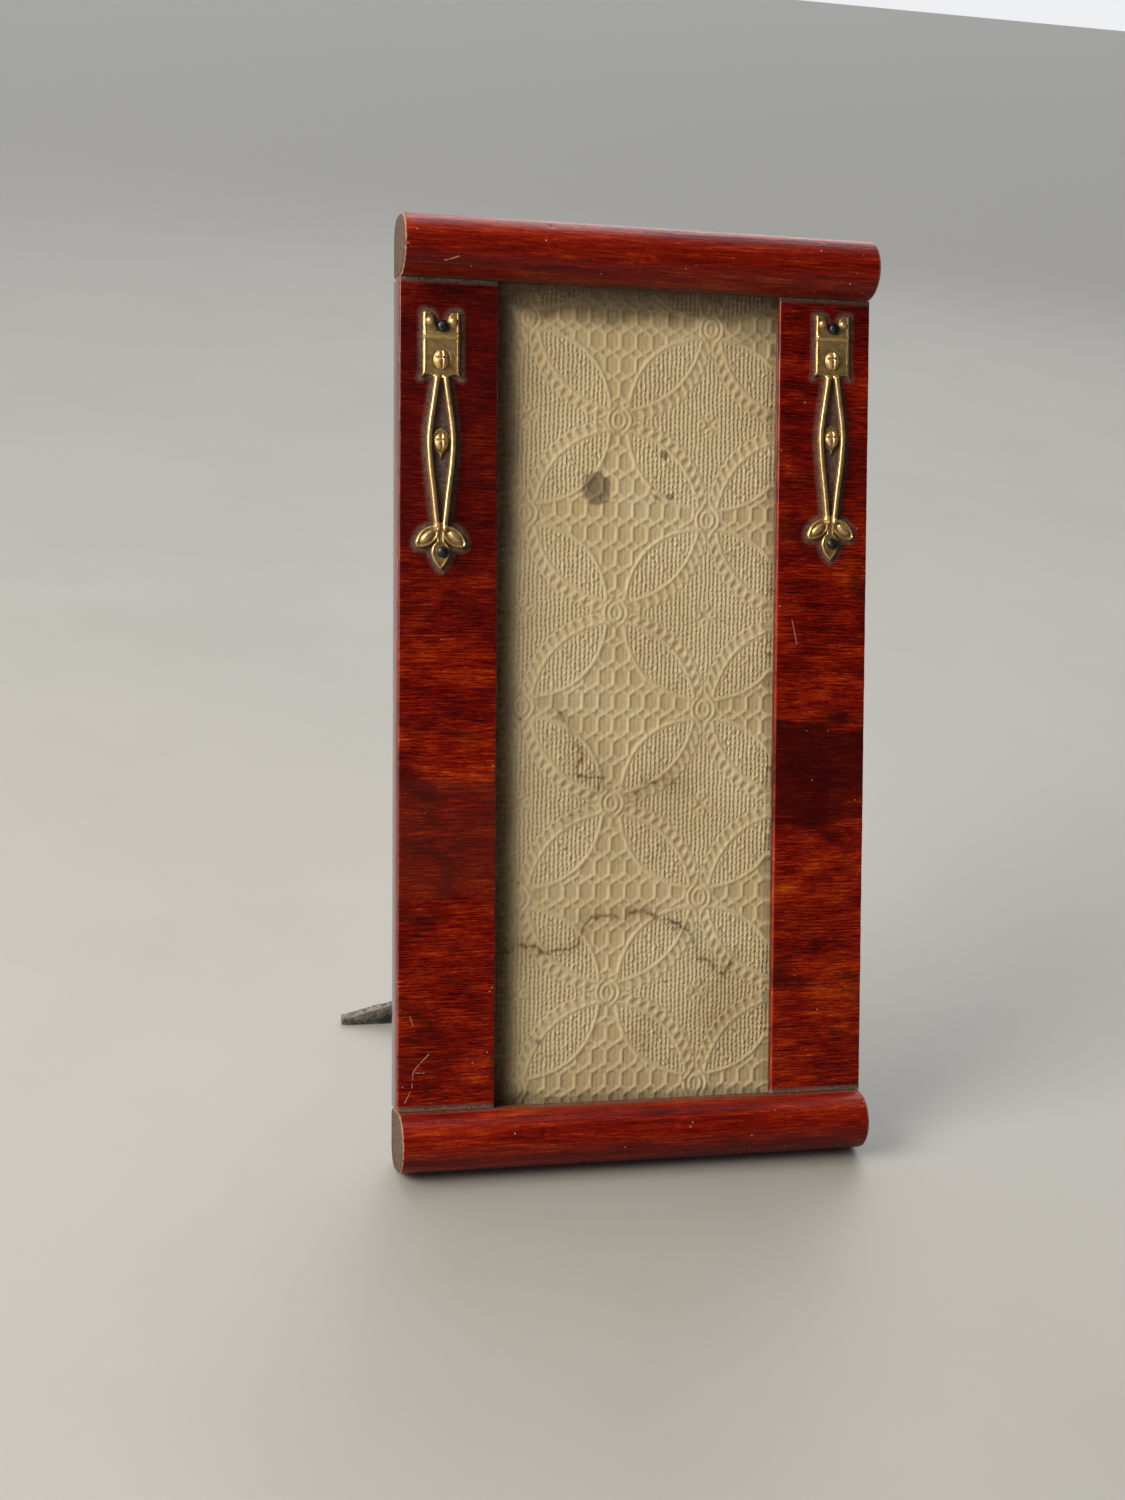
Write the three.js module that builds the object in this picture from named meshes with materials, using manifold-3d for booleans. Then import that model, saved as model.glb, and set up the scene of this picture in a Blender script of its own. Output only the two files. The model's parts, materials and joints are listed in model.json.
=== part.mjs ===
// Easel-backed desk frame in millimetres, +Z up, +Y to the back.
// Two round-nosed rails and two cross-veneered stiles hold a glazed panel of embossed paper.
// Stamped brass mounts are pinned to the stiles, turn-buttons hold the back board in, and a
// strut with a wide foot swings on a brass hinge. The frame leans back on its bottom rail and
// on the foot of the strut.

import * as THREE from 'three';
import { mergeVertices } from 'three/addons/utils/BufferGeometryUtils.js';
import Module from 'manifold-3d';

const wasm = await Module();
wasm.setup();

// ---- Driving dimensions ------------------------------------------------------------------

const WIDTH = 105;
const HEIGHT = 201;
const LEAN = THREE.MathUtils.degToRad(20);
const GAP = 0.3;

// Rails: half-round nose, square back with a large outer and a small inner corner round.
const RAIL_HEIGHT = 13;
const RAIL_NOSE = 6.2;
const RAIL_BACK = 7.3;
const RAIL_OUTER_ROUND = 4.5;
const RAIL_INNER_ROUND = 1;

// Stiles: a core with a rebate behind its lip, and a cross-grained veneer on its front.
const STILE_WIDTH = 21.2;
const STILE_BACK = 7.2;
const STILE_CHAMFER = 0.8;
const VENEER_THICKNESS = 0.8;
const VENEER_CHAMFER = 0.4;
const LIP_DEPTH = 1.9;
const REBATE_WIDTH = 3.6;
const REBATE_IN_RAIL = 3.5;

// Dowels between rails and stiles, outside the mounts' nails.
const DOWEL_FROM_CENTRE = 48;
const DOWEL_RADIUS = 1.5;
const DOWEL_IN_RAIL = 6;
const DOWEL_IN_STILE = 6.5;

// The layers behind the opening, from the glass to the back board.
const GLASS_THICKNESS = 1.4;
const PAPER_THICKNESS = 0.6;
const CARD_THICKNESS = 0.7;
const BOARD_THICKNESS = 1.4;

// Stamped mounts: the height of the upper pin above the frame's foot, one for each stile.
const MOUNT_FROM_CENTRE = 43.6;
const MOUNT_PIN_HEIGHT = { left: 178, right: 181.5 };
const MOUNT_THICKNESS = 0.6;
const MOUNT_RIB_HEIGHT = 1.1;
const MOUNT_BOSS_HEIGHT = 1.0;
const MOUNT_LOWER_PIN = { x: 0.5, z: -46.9 };
const MOUNT_UPPER_PIN = { x: 0.3, z: 0 };
const NAIL_HEAD_RADIUS = 1.25;
const NAIL_HEAD_HEIGHT = 0.9;
const NAIL_RADIUS = 0.45;
const NAIL_IN_CORE = 5;

// Turn-buttons and their screws.
const BUTTON_FROM_CENTRE = 39.5;
const BUTTON_HEIGHTS = { lower: 50, upper: 150 };
const BUTTON_THICKNESS = 0.8;
const BUTTON_PIVOT_ROUND = 3;
const BUTTON_TIP_ROUND = 2;
const BUTTON_REACH = 9.5;
const SCREW_HEAD_RADIUS = 2.2;
const SCREW_HEAD_HEIGHT = 1.1;
const SCREW_RADIUS = 1;
const SCREW_IN_CORE = 3.6;
const SCREW_SLOT_WIDTH = 0.6;
const SCREW_SLOT_DEPTH = 0.6;

// Strut hinge. The strut turns about its pin, which lies behind the back board.
const HINGE_PIN_HEIGHT = 119;
const HINGE_PIN_BACK = 9.7;
const HINGE_PIN_RADIUS = 0.8;
const KNUCKLE_RADIUS = 1.8;
const LEAF_THICKNESS = 0.8;
const FIXED_LEAF_HALF_WIDTH = 12;
const FIXED_LEAF_HEIGHT = 16;
const FIXED_RIVET = { x: 8, z: 10 };
const MIDDLE_KNUCKLE_HALF_WIDTH = 4.2;
const MOVING_LEAF_HALF_WIDTH = 8;
const MOVING_LEAF_LENGTH = 16;
const MOVING_RIVET = { x: 4.5, z: -11 };
const HEEL_LENGTH = 5.1;
const RIVET_HEAD_RADIUS = 1.7;
const RIVET_HEAD_HEIGHT = 0.8;
const RIVET_RADIUS = 0.8;

// Strut: a narrow card blade that spreads into a foot a little wider than the frame.
const STRUT_OPENING = THREE.MathUtils.degToRad(28);
const STRUT_THICKNESS = 2.4;
const STRUT_TOP = -2.3;
const STRUT_TOP_HALF_WIDTH = 13;
const STRUT_WAIST_HALF_WIDTH = 17;
const STRUT_WAIST_ABOVE_FOOT = 24;
const STRUT_FOOT_HALF_WIDTH = 55.2;
const STRUT_TIP_HEIGHT = 1.8;
const STRUT_SPREAD = { x: 26, z: 10 };

// Facets.
const ROUND_STEPS = 16;
const CURVE_STEPS = 6;
const RAIL_STEPS = 12;
const RIB_STEPS = 14;
const DOME_RINGS = 4;

// ---- Derived dimensions ------------------------------------------------------------------

const HALF_WIDTH = WIDTH / 2;
const OPENING_HALF_WIDTH = HALF_WIDTH - STILE_WIDTH;
const REBATE_HALF_WIDTH = OPENING_HALF_WIDTH + REBATE_WIDTH;
const STILE_BOTTOM = RAIL_HEIGHT + GAP;
const STILE_TOP = HEIGHT - RAIL_HEIGHT - GAP;
const CORE_FRONT = VENEER_THICKNESS + GAP;
const DOWEL_DEPTH = (CORE_FRONT + STILE_BACK) / 2;
const PANEL_HALF_WIDTH = REBATE_HALF_WIDTH - GAP;
const PANEL_BOTTOM = RAIL_HEIGHT - REBATE_IN_RAIL + GAP;
const PANEL_TOP = HEIGHT - PANEL_BOTTOM;
const GLASS_FRONT = LIP_DEPTH + GAP;
const PAPER_FRONT = GLASS_FRONT + GLASS_THICKNESS + GAP;
const CARD_FRONT = PAPER_FRONT + PAPER_THICKNESS + GAP;
const BOARD_FRONT = CARD_FRONT + CARD_THICKNESS + GAP;
const BOARD_BACK = BOARD_FRONT + BOARD_THICKNESS;
const NAIL_HOLE_RADIUS = NAIL_RADIUS + GAP;
const NAIL_SEAT = -(GAP + MOUNT_THICKNESS + GAP);
const BUTTON_FRONT = STILE_BACK + GAP;
const SCREW_SEAT = BUTTON_FRONT + BUTTON_THICKNESS + GAP;
const SCREW_HOLE_RADIUS = SCREW_RADIUS + GAP;
const RIVET_HOLE_RADIUS = RIVET_RADIUS + GAP;
const FIXED_LEAF_FRONT = BOARD_BACK + GAP;
const STRUT_HALF_THICKNESS = STRUT_THICKNESS / 2;
const STRUT_LEAN = STRUT_OPENING - LEAN;

// The bottom rail stands on its outer back round.
const FRAME_LIFT = RAIL_OUTER_ROUND * (1 - Math.cos(LEAN))
  + (RAIL_BACK - RAIL_OUTER_ROUND) * Math.sin(LEAN);
const PIN_ABOVE_FLOOR = FRAME_LIFT + HINGE_PIN_HEIGHT * Math.cos(LEAN)
  - HINGE_PIN_BACK * Math.sin(LEAN);
const STRUT_LENGTH = PIN_ABOVE_FLOOR / Math.cos(STRUT_LEAN);

// ---- Finishes ----------------------------------------------------------------------------

const finish = (color, roughness, metalness = 0) =>
  new THREE.MeshStandardMaterial({ color, roughness, metalness });

const FINISHES = {
  railVarnish: finish(0x6e1c10, 0.22),
  crossVeneer: finish(0x7a2210, 0.25),
  stileCore: finish(0x6a3a20, 0.6),
  dowel: finish(0xb98d5a, 0.7),
  glass: finish(0xdfe6e2, 0.05),
  embossedPaper: finish(0xaa9b73, 0.9),
  card: finish(0x9a9484, 0.9),
  backBoard: finish(0x7d5a38, 0.75),
  agedBrass: finish(0xa8853f, 0.4, 1),
  iron: finish(0x2e3032, 0.45, 1),
  strutCloth: finish(0x25282a, 0.85),
};

// ---- Geometry helpers --------------------------------------------------------------------

const X = new THREE.Vector3(1, 0, 0);
const Y = new THREE.Vector3(0, 1, 0);
const Z = new THREE.Vector3(0, 0, 1);

function extruded(shape, depth, curveSegments = CURVE_STEPS) {
  return new THREE.ExtrudeGeometry(shape, { depth, bevelEnabled: false, curveSegments });
}

// A shape drawn in X and Z, with its front at y and its thickness towards the back.
function slab(shape, y, thickness) {
  return extruded(shape, thickness).rotateX(Math.PI / 2).translate(0, y + thickness, 0);
}

// A section drawn in Y and Z, drawn out along X and centred on it.
function barAlongX(section, length, curveSegments) {
  const bar = extruded(section, length, curveSegments).translate(0, 0, -length / 2);
  return bar.applyMatrix4(new THREE.Matrix4().makeBasis(Y, Z, X));
}

// A section drawn in X and Y, drawn out between two heights.
function barAlongZ(section, bottom, top) {
  return extruded(section, top - bottom).translate(0, 0, bottom);
}

function box(low, high) {
  const size = high.map((value, axis) => value - low[axis]);
  const centre = high.map((value, axis) => (value + low[axis]) / 2);
  return new THREE.BoxGeometry(...size).translate(...centre);
}

function rodAlongX(radius, from, to) {
  const rod = new THREE.CylinderGeometry(radius, radius, to - from, ROUND_STEPS);
  return rod.rotateZ(Math.PI / 2).translate((from + to) / 2, 0, 0);
}

function rodAlongY(radius, x, z, from, to) {
  const rod = new THREE.CylinderGeometry(radius, radius, to - from, ROUND_STEPS);
  return rod.translate(x, (from + to) / 2, z);
}

function rodAlongZ(radius, x, y, from, to) {
  const rod = new THREE.CylinderGeometry(radius, radius, to - from, ROUND_STEPS);
  return rod.rotateX(Math.PI / 2).translate(x, y, (from + to) / 2);
}

function polygon(points) {
  return new THREE.Shape(points.map(([a, b]) => new THREE.Vector2(a, b)));
}

// Points of a quarter ellipse from the axis at -height out to (radius, 0).
function domeProfile(radius, height) {
  const points = [];
  for (let ring = 0; ring <= DOME_RINGS; ring += 1) {
    const angle = (ring / DOME_RINGS) * (Math.PI / 2);
    points.push(new THREE.Vector2(radius * Math.sin(angle), -height * Math.cos(angle)));
  }
  points[0].x = 0;
  return points;
}

// A low dome that bulges towards the front from its flat seat at y = 0.
function dome(radius, height) {
  const profile = [...domeProfile(radius, height), new THREE.Vector2(0, 0)];
  return new THREE.LatheGeometry(profile, ROUND_STEPS);
}

// A domed head in front of y = 0 and its shank behind.
function headedPin(headRadius, headHeight, shankRadius, shankLength) {
  const profile = [
    ...domeProfile(headRadius, headHeight),
    new THREE.Vector2(shankRadius, 0),
    new THREE.Vector2(shankRadius, shankLength),
    new THREE.Vector2(0, shankLength),
  ];
  return new THREE.LatheGeometry(profile, ROUND_STEPS);
}

// ---- Booleans ----------------------------------------------------------------------------

function toSolid(geometry) {
  const bare = geometry.clone();
  bare.deleteAttribute('normal');
  bare.deleteAttribute('uv');
  const merged = mergeVertices(bare);
  const vertProperties = new Float32Array(merged.attributes.position.array);
  const triVerts = new Uint32Array(merged.index.array);
  return new wasm.Manifold(new wasm.Mesh({ numProp: 3, vertProperties, triVerts }));
}

function toGeometry(solid) {
  const { vertProperties, triVerts } = solid.getMesh();
  const geometry = new THREE.BufferGeometry();
  geometry.setAttribute('position', new THREE.BufferAttribute(vertProperties, 3));
  geometry.setIndex(new THREE.BufferAttribute(triVerts, 1));
  return geometry;
}

function joined(geometries) {
  return toGeometry(geometries.map(toSolid).reduce((whole, part) => whole.add(part)));
}

function cut(geometry, tools) {
  const start = toSolid(geometry);
  return toGeometry(tools.map(toSolid).reduce((whole, tool) => whole.subtract(tool), start));
}

// ---- Scene helpers -----------------------------------------------------------------------

function mesh(name, geometry, material, position = [0, 0, 0]) {
  const piece = new THREE.Mesh(geometry, material);
  piece.name = name;
  piece.position.set(...position);
  return piece;
}

const SIDES = { left: -1, right: 1 };

// ---- Rails and stiles --------------------------------------------------------------------

// Section of the bottom rail about its own middle height, its outer side down.
function railSection() {
  const half = RAIL_HEIGHT / 2;
  const noseCentre = half - RAIL_NOSE;
  const section = new THREE.Shape();
  section.absarc(noseCentre, 0, half, Math.PI / 2, 1.5 * Math.PI, false);
  section.absarc(RAIL_BACK - RAIL_OUTER_ROUND, RAIL_OUTER_ROUND - half, RAIL_OUTER_ROUND,
    1.5 * Math.PI, 2 * Math.PI, false);
  section.absarc(RAIL_BACK - RAIL_INNER_ROUND, half - RAIL_INNER_ROUND, RAIL_INNER_ROUND,
    0, Math.PI / 2, false);
  section.closePath();
  return section;
}

// The bottom rail about its own middle; turned half round about Y it is the top rail.
function railGeometry() {
  const half = RAIL_HEIGHT / 2;
  const bar = barAlongX(railSection(), WIDTH, RAIL_STEPS);
  const rebate = box(
    [-REBATE_HALF_WIDTH, LIP_DEPTH, half - REBATE_IN_RAIL],
    [REBATE_HALF_WIDTH, RAIL_BACK + 1, half + 1],
  );
  const dowelHoles = Object.values(SIDES).map((side) => rodAlongZ(
    DOWEL_RADIUS + GAP, side * DOWEL_FROM_CENTRE, DOWEL_DEPTH, half - DOWEL_IN_RAIL, half + 1,
  ));
  return cut(bar, [rebate, ...dowelHoles]);
}

function rails() {
  const bottom = mesh('bottom_rail', railGeometry(), FINISHES.railVarnish,
    [0, 0, RAIL_HEIGHT / 2]);
  const top = mesh('top_rail', railGeometry(), FINISHES.railVarnish,
    [0, 0, HEIGHT - RAIL_HEIGHT / 2]);
  top.rotation.y = Math.PI;
  return [bottom, top];
}

// The two nail holes through a stile behind its mount.
function nailHoles(sideName, from, to) {
  const centre = SIDES[sideName] * MOUNT_FROM_CENTRE;
  const base = MOUNT_PIN_HEIGHT[sideName];
  return [MOUNT_UPPER_PIN, MOUNT_LOWER_PIN].map(
    (nail) => rodAlongY(NAIL_HOLE_RADIUS, centre + nail.x, base + nail.z, from, to),
  );
}

function stileCore(sideName) {
  const side = SIDES[sideName];
  const section = polygon([
    [side * OPENING_HALF_WIDTH, CORE_FRONT],
    [side * HALF_WIDTH, CORE_FRONT],
    [side * HALF_WIDTH, STILE_BACK - STILE_CHAMFER],
    [side * (HALF_WIDTH - STILE_CHAMFER), STILE_BACK],
    [side * REBATE_HALF_WIDTH, STILE_BACK],
    [side * REBATE_HALF_WIDTH, LIP_DEPTH],
    [side * OPENING_HALF_WIDTH, LIP_DEPTH],
  ]);
  const dowelX = side * DOWEL_FROM_CENTRE;
  const holeDepth = DOWEL_IN_STILE + GAP;
  const dowelHoles = [
    rodAlongZ(DOWEL_RADIUS + GAP, dowelX, DOWEL_DEPTH, STILE_BOTTOM - 1, STILE_BOTTOM + holeDepth),
    rodAlongZ(DOWEL_RADIUS + GAP, dowelX, DOWEL_DEPTH, STILE_TOP - holeDepth, STILE_TOP + 1),
  ];
  const screwHoles = Object.values(BUTTON_HEIGHTS).map((height) => rodAlongY(
    SCREW_HOLE_RADIUS, side * BUTTON_FROM_CENTRE, height,
    STILE_BACK - SCREW_IN_CORE - GAP, STILE_BACK + 1,
  ));
  const nails = nailHoles(sideName, 0, NAIL_IN_CORE + 2 * GAP);
  const bar = barAlongZ(section, STILE_BOTTOM, STILE_TOP);
  return mesh(`stile_core_${sideName}`, cut(bar, [...dowelHoles, ...screwHoles, ...nails]),
    FINISHES.stileCore);
}

function stileVeneer(sideName) {
  const side = SIDES[sideName];
  const section = polygon([
    [side * (OPENING_HALF_WIDTH + VENEER_CHAMFER), 0],
    [side * (HALF_WIDTH - VENEER_CHAMFER), 0],
    [side * HALF_WIDTH, VENEER_CHAMFER],
    [side * HALF_WIDTH, VENEER_THICKNESS],
    [side * OPENING_HALF_WIDTH, VENEER_THICKNESS],
    [side * OPENING_HALF_WIDTH, VENEER_CHAMFER],
  ]);
  const sheet = barAlongZ(section, STILE_BOTTOM, STILE_TOP);
  return mesh(`stile_veneer_${sideName}`, cut(sheet, nailHoles(sideName, -1, VENEER_THICKNESS + 1)),
    FINISHES.crossVeneer);
}

function dowels(sideName) {
  const length = DOWEL_IN_RAIL + DOWEL_IN_STILE;
  const low = RAIL_HEIGHT - DOWEL_IN_RAIL + GAP;
  const high = HEIGHT - low - length;
  return Object.entries({ lower: low, upper: high }).map(([level, height]) => mesh(
    `dowel_${level}_${sideName}`,
    rodAlongZ(DOWEL_RADIUS, 0, 0, 0, length),
    FINISHES.dowel,
    [SIDES[sideName] * DOWEL_FROM_CENTRE, DOWEL_DEPTH, height],
  ));
}

// ---- Glazed panel ------------------------------------------------------------------------

function panelLayer(name, front, thickness, material, holes = []) {
  const sheet = box(
    [-PANEL_HALF_WIDTH, front, PANEL_BOTTOM],
    [PANEL_HALF_WIDTH, front + thickness, PANEL_TOP],
  );
  return mesh(name, holes.length ? cut(sheet, holes) : sheet, material);
}

function fixedRivetPlaces() {
  return [-FIXED_RIVET.x, FIXED_RIVET.x].map((x) => [x, HINGE_PIN_HEIGHT + FIXED_RIVET.z]);
}

function panel() {
  const rivetHoles = fixedRivetPlaces().map(
    ([x, z]) => rodAlongY(RIVET_HOLE_RADIUS, x, z, BOARD_FRONT - 1, BOARD_BACK + 1),
  );
  return [
    panelLayer('glass_pane', GLASS_FRONT, GLASS_THICKNESS, FINISHES.glass),
    panelLayer('embossed_paper', PAPER_FRONT, PAPER_THICKNESS, FINISHES.embossedPaper),
    panelLayer('backing_card', CARD_FRONT, CARD_THICKNESS, FINISHES.card),
    panelLayer('back_board', BOARD_FRONT, BOARD_THICKNESS, FINISHES.backBoard, rivetHoles),
  ];
}

// ---- Stamped brass mounts ----------------------------------------------------------------
// Drawn in X and Z about the upper nail's height on the mount's own centre line.

function headPlate() {
  const plate = new THREE.Shape();
  plate.moveTo(-3.95, 2.9);
  plate.lineTo(-2.3, 2.8);
  plate.quadraticCurveTo(-1.5, 2.3, -1.3, 1.2);
  plate.quadraticCurveTo(-1.2, -0.9, 0, -1.1);
  plate.quadraticCurveTo(1.2, -0.9, 1.3, 1.2);
  plate.quadraticCurveTo(1.5, 2.3, 2.3, 2.8);
  plate.lineTo(3.95, 2.9);
  plate.lineTo(3.95, -9.2);
  plate.quadraticCurveTo(3.95, -10.2, 4.4, -10.8);
  plate.quadraticCurveTo(2.6, -9.3, 1.5, -10.9);
  plate.lineTo(-1.5, -10.9);
  plate.quadraticCurveTo(-2.6, -9.3, -4.4, -10.8);
  plate.quadraticCurveTo(-3.95, -10.2, -3.95, -9.2);
  plate.closePath();
  return plate;
}

// One side rib as a strip about a curve that bows out and comes back to the stem.
function ribStrip(side) {
  const middle = new THREE.CatmullRomCurve3([
    [0.85, -10.2], [1.45, -14.6], [2.25, -20], [2.6, -23.5], [2.15, -29.6], [1.4, -35.6],
    [0.8, -42],
  ].map(([x, z]) => new THREE.Vector3(side * x, z, 0)));
  const halfWidth = 0.62;
  const edges = [-1, 1].map((edge) => middle.getSpacedPoints(RIB_STEPS).map((point, index) => {
    const along = middle.getTangentAt(index / RIB_STEPS);
    return [point.x - edge * halfWidth * along.y, point.y + edge * halfWidth * along.x];
  }));
  return polygon([...edges[0], ...edges[1].reverse()]);
}

function middleDrop() {
  const drop = new THREE.Shape();
  drop.moveTo(0, -21);
  drop.quadraticCurveTo(2.1, -22, 2.15, -23.6);
  drop.quadraticCurveTo(1.8, -25.6, 0, -27.6);
  drop.quadraticCurveTo(-1.8, -25.6, -2.15, -23.6);
  drop.quadraticCurveTo(-2.1, -22, 0, -21);
  return drop;
}

// A leaf that splays down and out from the stem on one side.
function splayedLeaf(side) {
  const leaf = new THREE.Shape();
  leaf.moveTo(side * 0.2, -41.2);
  leaf.bezierCurveTo(side * 2.6, -40.9, side * 5.3, -43, side * 5.35, -45.7);
  leaf.bezierCurveTo(side * 3.2, -46.4, side * 0.8, -45.2, side * 0.2, -43.2);
  leaf.closePath();
  return leaf;
}

function stemAndLowerDrop() {
  const drop = new THREE.Shape();
  drop.moveTo(-0.9, -41);
  drop.lineTo(0.9, -41);
  drop.lineTo(0.9, -44.6);
  drop.quadraticCurveTo(2.1, -45.6, 2.05, -47.2);
  drop.quadraticCurveTo(1.6, -49.2, 0, -50.6);
  drop.quadraticCurveTo(-1.6, -49.2, -2.05, -47.2);
  drop.quadraticCurveTo(-2.1, -45.6, -0.9, -44.6);
  drop.closePath();
  return drop;
}

// A raised boss on the sheet: a dome stretched to its outline and turned in the sheet's plane.
function boss(x, z, halfWidth, halfLength, tilt = 0) {
  const shape = dome(1, MOUNT_BOSS_HEIGHT).scale(halfWidth, 1, halfLength).rotateY(tilt);
  return shape.translate(x, -GAP - MOUNT_THICKNESS / 2, z);
}

function mountGeometry() {
  const sheetFront = -GAP - MOUNT_THICKNESS;
  const ribFront = -GAP - MOUNT_RIB_HEIGHT;
  const sheets = [
    headPlate(), middleDrop(), splayedLeaf(-1), splayedLeaf(1), stemAndLowerDrop(),
  ].map((outline) => slab(outline, sheetFront, MOUNT_THICKNESS));
  const ribs = [-1, 1].map((side) => slab(ribStrip(side), ribFront, MOUNT_RIB_HEIGHT));
  const ridge = box([-3.75, ribFront, -2.4], [3.75, -GAP, -1.4]);
  const bosses = [
    boss(-2.3, 0.9, 0.8, 0.8), boss(2.3, 0.9, 0.8, 0.8),
    boss(0, -7.2, 1.5, 1.8), boss(0, -23.9, 1.45, 1.7),
    boss(-2.7, -43.5, 0.8, 1.7, 0.9), boss(2.7, -43.5, 0.8, 1.7, -0.9),
  ];
  const holes = [MOUNT_UPPER_PIN, MOUNT_LOWER_PIN].map(
    (nail) => rodAlongY(NAIL_HOLE_RADIUS, nail.x, nail.z, -3, 1),
  );
  return cut(joined([...sheets, ...ribs, ridge, ...bosses]), holes);
}

function brassMount(sideName) {
  const centre = SIDES[sideName] * MOUNT_FROM_CENTRE;
  const base = MOUNT_PIN_HEIGHT[sideName];
  const mount = mesh(`brass_mount_${sideName}`, mountGeometry(), FINISHES.agedBrass,
    [centre, 0, base]);
  const nails = Object.entries({ upper: MOUNT_UPPER_PIN, lower: MOUNT_LOWER_PIN }).map(
    ([level, nail]) => mesh(
      `mount_nail_${level}_${sideName}`,
      headedPin(NAIL_HEAD_RADIUS, NAIL_HEAD_HEIGHT, NAIL_RADIUS, NAIL_IN_CORE - NAIL_SEAT),
      FINISHES.iron,
      [centre + nail.x, NAIL_SEAT, base + nail.z],
    ),
  );
  return [mount, ...nails];
}

// ---- Turn-buttons ------------------------------------------------------------------------

// A tapered lever about its pivot, reaching along +X.
function buttonGeometry() {
  const tangent = Math.acos((BUTTON_PIVOT_ROUND - BUTTON_TIP_ROUND) / BUTTON_REACH);
  const outline = new THREE.Shape();
  outline.absarc(0, 0, BUTTON_PIVOT_ROUND, tangent, 2 * Math.PI - tangent, false);
  outline.absarc(BUTTON_REACH, 0, BUTTON_TIP_ROUND, -tangent, tangent, false);
  outline.closePath();
  const hole = rodAlongY(SCREW_HOLE_RADIUS, 0, 0, -1, BUTTON_THICKNESS + 1);
  return cut(slab(outline, 0, BUTTON_THICKNESS), [hole]);
}

// A slotted round-head screw, its head towards the back and its seat at y = 0.
function screwGeometry() {
  const shank = SCREW_SEAT - STILE_BACK + SCREW_IN_CORE;
  const blank = headedPin(SCREW_HEAD_RADIUS, SCREW_HEAD_HEIGHT, SCREW_RADIUS, shank);
  const slot = box(
    [-SCREW_HEAD_RADIUS, SCREW_HEAD_HEIGHT - SCREW_SLOT_DEPTH, -SCREW_SLOT_WIDTH / 2],
    [SCREW_HEAD_RADIUS, SCREW_HEAD_HEIGHT + 1, SCREW_SLOT_WIDTH / 2],
  );
  return cut(blank.rotateX(Math.PI), [slot]);
}

function turnButton(level, sideName) {
  const x = SIDES[sideName] * BUTTON_FROM_CENTRE;
  const z = BUTTON_HEIGHTS[level];
  const button = mesh(`turn_button_${level}_${sideName}`, buttonGeometry(), FINISHES.agedBrass,
    [x, BUTTON_FRONT, z]);
  button.rotation.y = sideName === 'right' ? Math.PI : 0;
  const screw = mesh(`button_screw_${level}_${sideName}`, screwGeometry(), FINISHES.agedBrass,
    [x, SCREW_SEAT, z]);
  return [button, screw];
}

// ---- Strut and hinge ---------------------------------------------------------------------

// A rivet with its head towards the back, seated at y = 0.
function rivetGeometry(shankLength) {
  return headedPin(RIVET_HEAD_RADIUS, RIVET_HEAD_HEIGHT, RIVET_RADIUS, shankLength)
    .rotateX(Math.PI);
}

function pinBore() {
  return rodAlongX(HINGE_PIN_RADIUS + GAP, -FIXED_LEAF_HALF_WIDTH - 1, FIXED_LEAF_HALF_WIDTH + 1);
}

// Leaf on the back board, about the hinge pin's middle, with a knuckle at each end.
function fixedLeaf() {
  const front = FIXED_LEAF_FRONT - HINGE_PIN_BACK;
  const inner = MIDDLE_KNUCKLE_HALF_WIDTH + GAP;
  const plate = box(
    [-FIXED_LEAF_HALF_WIDTH, front, -1],
    [FIXED_LEAF_HALF_WIDTH, front + LEAF_THICKNESS, FIXED_LEAF_HEIGHT],
  );
  const knuckles = [
    rodAlongX(KNUCKLE_RADIUS, -FIXED_LEAF_HALF_WIDTH, -inner),
    rodAlongX(KNUCKLE_RADIUS, inner, FIXED_LEAF_HALF_WIDTH),
  ];
  const notch = box([-inner, -KNUCKLE_RADIUS - 2, -2], [inner, 0, KNUCKLE_RADIUS + GAP]);
  const rivetHoles = [-FIXED_RIVET.x, FIXED_RIVET.x].map(
    (x) => rodAlongY(RIVET_HOLE_RADIUS, x, FIXED_RIVET.z, front - 1, front + LEAF_THICKNESS + 1),
  );
  return mesh('hinge_fixed_leaf', cut(joined([plate, ...knuckles]), [pinBore(), notch, ...rivetHoles]),
    FINISHES.agedBrass);
}

function hingePin() {
  return mesh('hinge_pin',
    rodAlongX(HINGE_PIN_RADIUS, -FIXED_LEAF_HALF_WIDTH - 1, FIXED_LEAF_HALF_WIDTH + 1),
    FINISHES.agedBrass);
}

function fixedHinge() {
  const hinge = new THREE.Group();
  hinge.position.set(0, HINGE_PIN_BACK, HINGE_PIN_HEIGHT);
  const seat = FIXED_LEAF_FRONT - HINGE_PIN_BACK + LEAF_THICKNESS + GAP;
  const shank = LEAF_THICKNESS + 2 * GAP + BOARD_THICKNESS - GAP;
  const rivets = Object.entries(SIDES).map(([sideName, side]) => mesh(
    `hinge_rivet_${sideName}`, rivetGeometry(shank), FINISHES.agedBrass,
    [side * FIXED_RIVET.x, seat, FIXED_RIVET.z],
  ));
  hinge.add(fixedLeaf(), hingePin(), ...rivets);
  return hinge;
}

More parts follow.
